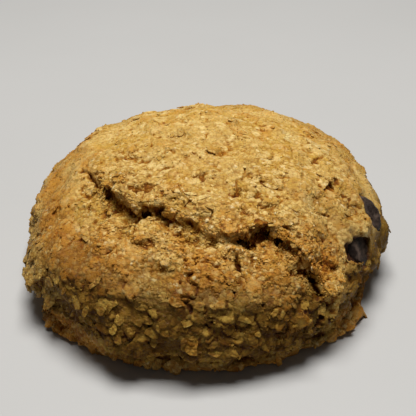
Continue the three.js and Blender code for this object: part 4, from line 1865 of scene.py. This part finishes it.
@dataclass
class OatFlakes:
    """Oat flakes whose edges stand clear of the crust. Millimetres.

    Attributes:
        rim: Width of the rim that thins out, as a share of a flake's half width.
        wall_lean: How much flakes on the wall face upwards.
        waves: Numbers of waves in a flake's outline.
        cup: How far a flake may bend along each of its two directions.
        bend: What the bends are multiplied by, in half widths.
        clear: How far a flake may lie under or over the crust.
        wall_clear: How much higher it lies on the wall.
        pale: Flakes that are placed one by one.
        pale_tone: Their darkest tone, and how much paler they may be.
    """

    count: int = 1000
    half: Limits = (0.6, 2.1)
    gap: float = 1.15
    sides: int = 9
    rim: float = 0.34
    least_height: float = 1.2
    wall_lean: float = 0.48
    waves: tuple[int, ...] = (2, 3, 5)
    wave: Limits = (0.04, 0.14)
    corner: Limits = (-0.18, 0.10)
    cup: Limits = (-0.35, 0.15)
    twist: float = 0.5
    crumple: float = 0.12
    bend: float = 0.4
    clear: Limits = (-0.28, 0.02)
    wall_clear: float = 0.08
    sharp: float = 38.0
    seed: int = 23
    pale: tuple[PaleFlake, ...] = PALE_FLAKES
    pale_lift: float = 0.05
    pale_thick: float = 0.5
    pale_tone: Limits = (0.74, 0.22)
    oat_share: float = 0.75
    finish: BakedFinish = field(default_factory=BakedFinish)

    def template(self) -> Bmesh:
        """Makes one flat round flake of radius 1 and thickness 1.

        Returns:
            The flake, its faces all triangles.
        """
        made = bmesh.new()
        bmesh.ops.create_circle(made, cap_ends=True, segments=self.sides, radius=1.0)
        bmesh.ops.inset_region(made, faces=made.faces[:], thickness=self.rim, use_even_offset=True)
        inner = [f for f in made.faces if len(f.verts) == self.sides]
        bmesh.ops.poke(made, faces=inner)
        grown = bmesh.ops.extrude_face_region(made, geom=made.faces[:])
        raised = [g for g in grown["geom"] if isinstance(g, bmesh.types.BMVert)]
        bmesh.ops.translate(made, verts=raised, vec=(0, 0, 1.0))
        bmesh.ops.recalc_face_normals(made, faces=made.faces)
        bmesh.ops.triangulate(made, faces=made.faces)
        made.verts.index_update()
        return made

    def place_pale(self, flakes: Flakes, places: Array, normals: Array) -> None:
        """Adds the pale flakes that are listed one by one.

        Args:
            flakes: The flakes to add to.
            places: Points of the dough's surface.
            normals: The surface's outward directions there.
        """
        nearest = [int(np.linalg.norm(places - flake.at, axis=1).argmin()) for flake in self.pale]
        out = normals[nearest] / np.linalg.norm(normals[nearest], axis=1, keepdims=True)
        level = np.cross((0.0, 0.0, 1.0), out) + (0.02, 0, 0)
        level /= np.linalg.norm(level, axis=1, keepdims=True)
        level -= (level * out).sum(axis=1, keepdims=True) * out
        turn = np.radians([flake.turn for flake in self.pale])[:, None]
        darkest, paler = self.pale_tone
        tone = darkest + paler * hashed(np.array([flake.at for flake in self.pale]), 5)
        along = np.cos(turn) * level + np.sin(turn) * np.cross(out, level)
        flakes.middle = np.concatenate([flakes.middle, places[nearest] + self.pale_lift * out])
        flakes.out = np.concatenate([flakes.out, out])
        flakes.along = np.concatenate([flakes.along, along])
        flakes.half = np.concatenate([flakes.half, [flake.half for flake in self.pale]])
        flakes.thick = np.concatenate([flakes.thick, np.full(len(self.pale), self.pale_thick)])
        flakes.tone = np.concatenate([flakes.tone, tone])
        flakes.source = np.concatenate([flakes.source, nearest])

    def strewn(self, rng: Draws, dough: Piece, maker: Dough, zone: Zones) -> Flakes:
        """Strews flakes over the dough, most of them on the wall, and adds the pale ones.

        Args:
            rng: The source of draws.
            dough: The finished dough.
            maker: What made the dough.
            zone: Shares of the crust's zones.

        Returns:
            The flakes.
        """
        places, normals = places_of(dough.data), soft_normals(dough.data)
        lips = np.clip(maker.shape.spread_foot(places) * zone.foot, 0, 1)
        weights = (places[:, 2] > self.least_height) * zone.added(0.35, wall=1.3) * zone.added(1, left=1)
        weights *= zone.spared(inside=0.9, chip=1, shoulder=0.45, far=0.3, lobe=0.9) * (1 - 0.9 * lips)
        weights = np.clip(weights, LEAST_WEIGHT, None)
        tilt = zone.added(0.14, wall=0.30, foot=0.2)
        normals = normals + np.outer(self.wall_lean * zone.wall, (0, 0, 1))
        flakes = Flakes.strew(rng, places, normals, weights, self.count, self.half, tilt, self.gap)
        paler = zone.added(0.2, wall=0.2, left=0.25)[flakes.source]
        pale = rng.uniform(0, 1, len(flakes.tone)) < paler
        flakes.tone = np.where(pale, 0.3 + 0.65 * flakes.tone, 0.10 + 0.5 * flakes.tone)
        self.place_pale(flakes, places, normals)
        return flakes

    def bent(self, rng: Draws, flakes: Flakes, shape: Array, wall: Array) -> Array:
        """Lays an uneven, cupped and twisted flake at each flake's place.

        Args:
            rng: The source of draws.
            flakes: The flakes.
            shape: Vertices of the flat round flake.
            wall: How far each flake lies on the wall, from 0 to 1.

        Returns:
            Vertex places, flakes by vertices by three.
        """
        n = len(flakes.middle)
        x, y, z = shape.T
        turn, radius = np.arctan2(y, x), np.hypot(x, y)
        wobble = 1 + radius * sum(
            rng.uniform(*self.wave, (n, 1)) * np.sin(k * turn + rng.uniform(0, FULL_TURN, (n, 1)))
            for k in self.waves)
        step = np.round(turn / (2 * math.pi) * self.sides).astype(int) % self.sides
        wobble = wobble * (1 + radius * rng.uniform(*self.corner, (n, self.sides))[:, step])
        bend = rng.uniform(*self.cup, (n, 1)) * x**2 + rng.uniform(*self.cup, (n, 1)) * y**2
        bend = bend + rng.uniform(-self.twist, self.twist, (n, 1)) * x * y
        bend = bend + rng.uniform(-self.crumple, self.crumple, (n, len(shape)))
        u = x * wobble * flakes.half[:, :1]
        v = y * wobble * flakes.half[:, 1:]
        thin = 1 - 0.5 * ramp(radius, 0.6, 1.0)
        thick = (0.7 + 0.3 * wall) * flakes.thick
        w = (z - 0.5) * thin * thick[:, None] + bend * flakes.half[:, 1:] * self.bend
        clear = rng.uniform(*self.clear, n) + self.wall_clear * wall
        at = (flakes.middle + clear[:, None] * flakes.out)[:, None]
        for reach, direction in ((u, flakes.along), (v, flakes.across), (w, flakes.out)):
            at = at + reach[..., None] * direction[:, None]
        return above_floor(at)

    def build(self, dough: Piece, maker: Dough) -> Piece:
        """Strews flakes over the dough and joins them into one piece.

        Args:
            dough: The finished dough, which the flakes stick to.
            maker: What made the dough.

        Returns:
            The flakes' object.
        """
        rng = np.random.default_rng(self.seed)
        zone = maker.zones(places_of(dough.data))
        flakes = self.strewn(rng, dough, maker, zone)
        template = self.template()
        shape = np.array([v.co for v in template.verts])
        mesh = join_copies("oat_flakes", template, self.bent(rng, flakes, shape, zone.wall[flakes.source]))
        template.free()
        shade(mesh, True)
        mesh.set_sharp_from_angle(angle=math.radians(self.sharp))
        each, every = len(shape), len(mesh.vertices)
        toast = 0.75 * read_mark(dough.data, Mark.TOAST)[flakes.source]
        rim = np.tile(ramp(np.hypot(shape[:, 0], shape[:, 1]), 0.7, 1.0), len(toast))
        mark(mesh, Mark.FLAKE, np.ones(every))
        mark(mesh, Mark.TONE, np.repeat(flakes.tone, each) * rng.uniform(0.7, 1.15, every))
        mark(mesh, Mark.TOAST, np.repeat(toast, each) - 0.05 * rim)
        # Each flake takes the painted shade of the dough under it.
        mark(mesh, Mark.SHADE, np.repeat(read_mark(dough.data, Mark.SHADE)[flakes.source], each))
        mark(mesh, Mark.GRAIN, np.full(every, 0.65))
        return object_of("oat_flakes", mesh)

    def dress(self, piece: Piece) -> None:
        """Gives the flakes their finish."""
        piece.data.materials.append(self.finish.material("toasted_oats", self.oat_share))


@dataclass
class Crumbs:
    """Angular crumbs baked onto the crust. Millimetres.

    Attributes:
        radius_skew: Shape of the spread of radii, most of them small.
        squash: How far a crumb is squashed or stretched along each axis.
        sink: How far its middle lies under or over the crust, in radii.
    """

    name: str
    count: int
    radius: Limits
    seed: int
    radius_skew: Limits = (1.3, 3.0)
    clump_size: float = 4.0
    squash: Limits = (0.6, 1.3)
    corner: Limits = (0.75, 1.25)
    sink: Limits = (-0.4, 0.2)
    least_height: float = 0.9
    oat_share: float = 0.85
    finish: BakedFinish = field(default_factory=BakedFinish)

    def build(self, dough: Piece, maker: Dough) -> Piece:
        """Strews crumbs over the dough and joins them into one piece.

        Args:
            dough: The finished dough, which the crumbs stick to.
            maker: What made the dough.

        Returns:
            The crumbs' object.
        """
        rng = np.random.default_rng(self.seed)
        places, normals = places_of(dough.data), normals_of(dough.data)
        zone = maker.zones(places)
        clump = ramp(swell(places, self.clump_size, 41 + self.seed), -0.35, 0.4)
        weights = (places[:, 2] > self.least_height) * (0.1 + clump) * zone.added(0.3, broken=1.2, lip=0.4)
        weights *= zone.spared(chip=0.97) * zone.added(1, shoulder=-0.5, far=-0.3)
        n = self.count
        chosen = rng.choice(len(places), size=n, replace=False, p=weights / weights.sum())
        template = bmesh.new()
        bmesh.ops.create_icosphere(template, subdivisions=1, radius=1.0)
        template.verts.index_update()
        shape = np.array([v.co for v in template.verts])
        radius = self.radius[0] + (self.radius[1] - self.radius[0]) * rng.beta(*self.radius_skew, n)
        squash = rng.uniform(*self.squash, (n, 1, 3)) * rng.uniform(*self.corner, (n, len(shape), 1))
        middle = places[chosen] + (radius * rng.uniform(*self.sink, n))[:, None] * normals[chosen]
        at = middle[:, None] + radius[:, None, None] * squash * shape[None]
        mesh = join_copies(self.name, template, above_floor(at))
        template.free()
        shade(mesh, False)
        under = {name: read_mark(dough.data, name)[chosen] for name in Mark}
        oat = (rng.uniform(0, 1, n) < 0.3) * 0.7
        values = {
            Mark.FLAKE: oat,
            Mark.TONE: rng.uniform(0, 1, n),
            Mark.TOAST: np.clip(under[Mark.TOAST] + 0.10 * rng.normal(size=n), 0, 1.3),
            # Each crumb takes part of the painted shade in the pits, and the painted wall shade, of the
            # dough under it.
            Mark.PIT: 0.3 * under[Mark.PIT],
            Mark.CRUMB: under[Mark.CRUMB],
            Mark.STAIN: 0.5 * under[Mark.STAIN],
            Mark.SHADE: under[Mark.SHADE],
        }
        for name, numbers in values.items():
            mark(mesh, name, np.repeat(numbers, len(shape)))
        return object_of(self.name, mesh)

    def dress(self, piece: Piece) -> None:
        """Gives the crumbs their finish."""
        piece.data.materials.append(self.finish.material(self.name, self.oat_share))


@dataclass
class ChocolateChip:
    """One chocolate chip, worn and broken where it shows. Millimetres.

    Attributes:
        facets: Broken faces, each a direction and how far it lies from the chip's middle.
        grow: How far the surface lies out from the solid's.
        cuts: Cuts along each edge of the solid, to carry the wear.
        ease: How far the solid's edges are rounded off.
    """

    node: str
    seed: int
    facets: tuple[Facet, ...] = ()
    grow: float = 0.15
    wear: float = 0.22
    wear_size: float = 2.2
    dent_size: float = 1.1
    dent_share: float = 0.7
    cuts: int = 3
    ease: float = 0.3

    def build(self) -> Piece:
        """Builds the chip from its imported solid.

        Returns:
            The chip's object.
        """
        made = merged_copy(self.node)
        middle = middle_of(made)
        for direction, distance in self.facets:
            normal = Vector(direction).normalized()
            bmesh.ops.bisect_plane(made, geom=[*made.verts, *made.edges, *made.faces], clear_outer=True,
                                   plane_co=middle + normal * distance * MM, plane_no=normal)
            bmesh.ops.holes_fill(made, edges=[e for e in made.edges if e.is_boundary], sides=0)
        bmesh.ops.triangulate(made, faces=made.faces)
        bmesh.ops.subdivide_edges(made, edges=made.edges[:], cuts=self.cuts, use_grid_fill=True)
        smooth(made, made.verts[:], self.ease)
        mesh = mesh_of(self.node + "_dressed", made)
        places, normals = places_of(mesh), normals_of(mesh)
        worn = swell(places, self.wear_size, 50 + self.seed)
        worn += self.dent_share * swell(places, self.dent_size, 60)
        move_to(mesh, places + (self.grow + self.wear * worn)[:, None] * normals)
        shade(mesh, True)
        return object_of(self.node + "_dressed", mesh)

    def dress(self, piece: Piece, chocolate: Material) -> None:
        """Gives the chip the chocolate that all of them share."""
        piece.data.materials.append(chocolate)


BROKEN_CHIP: tuple[Facet, ...] = (
    ((0.80, -0.36, 0.48), 2.4), ((0.30, -0.60, 0.74), 2.1), ((-0.78, -0.62, 0.10), 2.4),
    ((0.05, -0.95, -0.30), 2.8),
)


# The studio


@dataclass
class Studio:
    """Floor, soft light, sky and camera. Millimetres and degrees.

    Attributes:
        focal_pixels: Focal length in pixels of an image that is image_pixels wide.
    """

    camera_at: Point = (0.14, -147.9, 116.27)
    pitch: float = 35.098
    focal_pixels: float = 834.0
    image_pixels: float = 416.0
    sensor: float = 36.0
    nearest: float = 10.0
    floor_side: float = 3000.0
    key_at: Point = (5, 45, 590)
    key_side: float = 270.0
    key_power: float = 4.55
    key_aim: Point = (0, 0, 12)
    sky: float = 0.06
    sky_colour: Colour = (1.0, 0.98, 0.94)
    finish: FloorFinish = field(default_factory=FloorFinish)

    def lay_floor(self) -> None:
        """Lays the floor."""
        made = bmesh.new()
        bmesh.ops.create_grid(made, x_segments=1, y_segments=1, size=self.floor_side / 2 * MM)
        floor = object_of("floor", mesh_of("floor", made))
        floor.data.materials.append(self.finish.material())

    def hang_key(self) -> None:
        """Hangs the square soft light."""
        data = bpy.data.lights.new("key", "AREA")
        data.size = self.key_side * MM
        data.energy = self.key_power
        lamp = bpy.data.objects.new("key", data)
        bpy.context.scene.collection.objects.link(lamp)
        lamp.location = Vector(self.key_at) * MM
        aim = Vector(self.key_aim) - Vector(self.key_at)
        lamp.rotation_euler = aim.to_track_quat("-Z", "Y").to_euler()

    def set_sky(self) -> None:
        """Gives the scene a weak, even sky."""
        world = bpy.data.worlds.new("soft_sky")
        bpy.context.scene.world = world
        world.use_nodes = True
        light = world.node_tree.nodes["Background"].inputs
        light["Color"].default_value = (*self.sky_colour, 1.0)
        light["Strength"].default_value = self.sky

    def set_camera(self) -> None:
        """Places the camera."""
        data = bpy.data.cameras.new("camera")
        data.sensor_width = self.sensor
        data.lens = self.focal_pixels / self.image_pixels * self.sensor
        data.clip_start = self.nearest * MM
        camera = bpy.data.objects.new("camera", data)
        bpy.context.scene.collection.objects.link(camera)
        camera.location = Vector(self.camera_at) * MM
        camera.rotation_euler = (math.radians(90 - self.pitch), 0, 0)
        bpy.context.scene.camera = camera

    def build(self) -> None:
        """Sets the floor, the light, the sky and the camera."""
        bpy.context.scene.view_settings.view_transform = "Standard"
        self.lay_floor()
        self.hang_key()
        self.set_sky()
        self.set_camera()


def attach(piece: Piece) -> None:
    """Makes a piece ride on the cookie's body, and reports it.

    Args:
        piece: The piece.
    """
    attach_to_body(piece, BODY)
    LOG.info("%s: %d faces", piece.name, len(piece.data.polygons))


def main() -> None:
    """Builds the cookie's pieces in order, then the studio."""
    logging.basicConfig(level=logging.INFO, format="%(message)s")
    dough_maker = Dough()
    dough = dough_maker.build()
    dough_maker.dress(dough)
    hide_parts("cookie")
    attach(dough)
    fine = Crumbs("fine_crumbs", count=9000, radius=(0.12, 0.34), seed=37)
    coarse = Crumbs("coarse_crumbs", count=240, radius=(0.35, 0.75), seed=38)
    for maker in (OatFlakes(), fine, coarse):
        piece = maker.build(dough, dough_maker)
        maker.dress(piece)
        attach(piece)
    chocolate = ChocolateFinish().material()
    broken = {"chocolate_chip_2": BROKEN_CHIP}
    for number, node in enumerate(chip_nodes(), start=1):
        chip_maker = ChocolateChip(node, seed=number, facets=broken.get(node, ()))
        chip = chip_maker.build()
        chip_maker.dress(chip, chocolate)
        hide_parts(node)
        attach(chip)
    Studio().build()


if __name__ == "__main__":
    main()
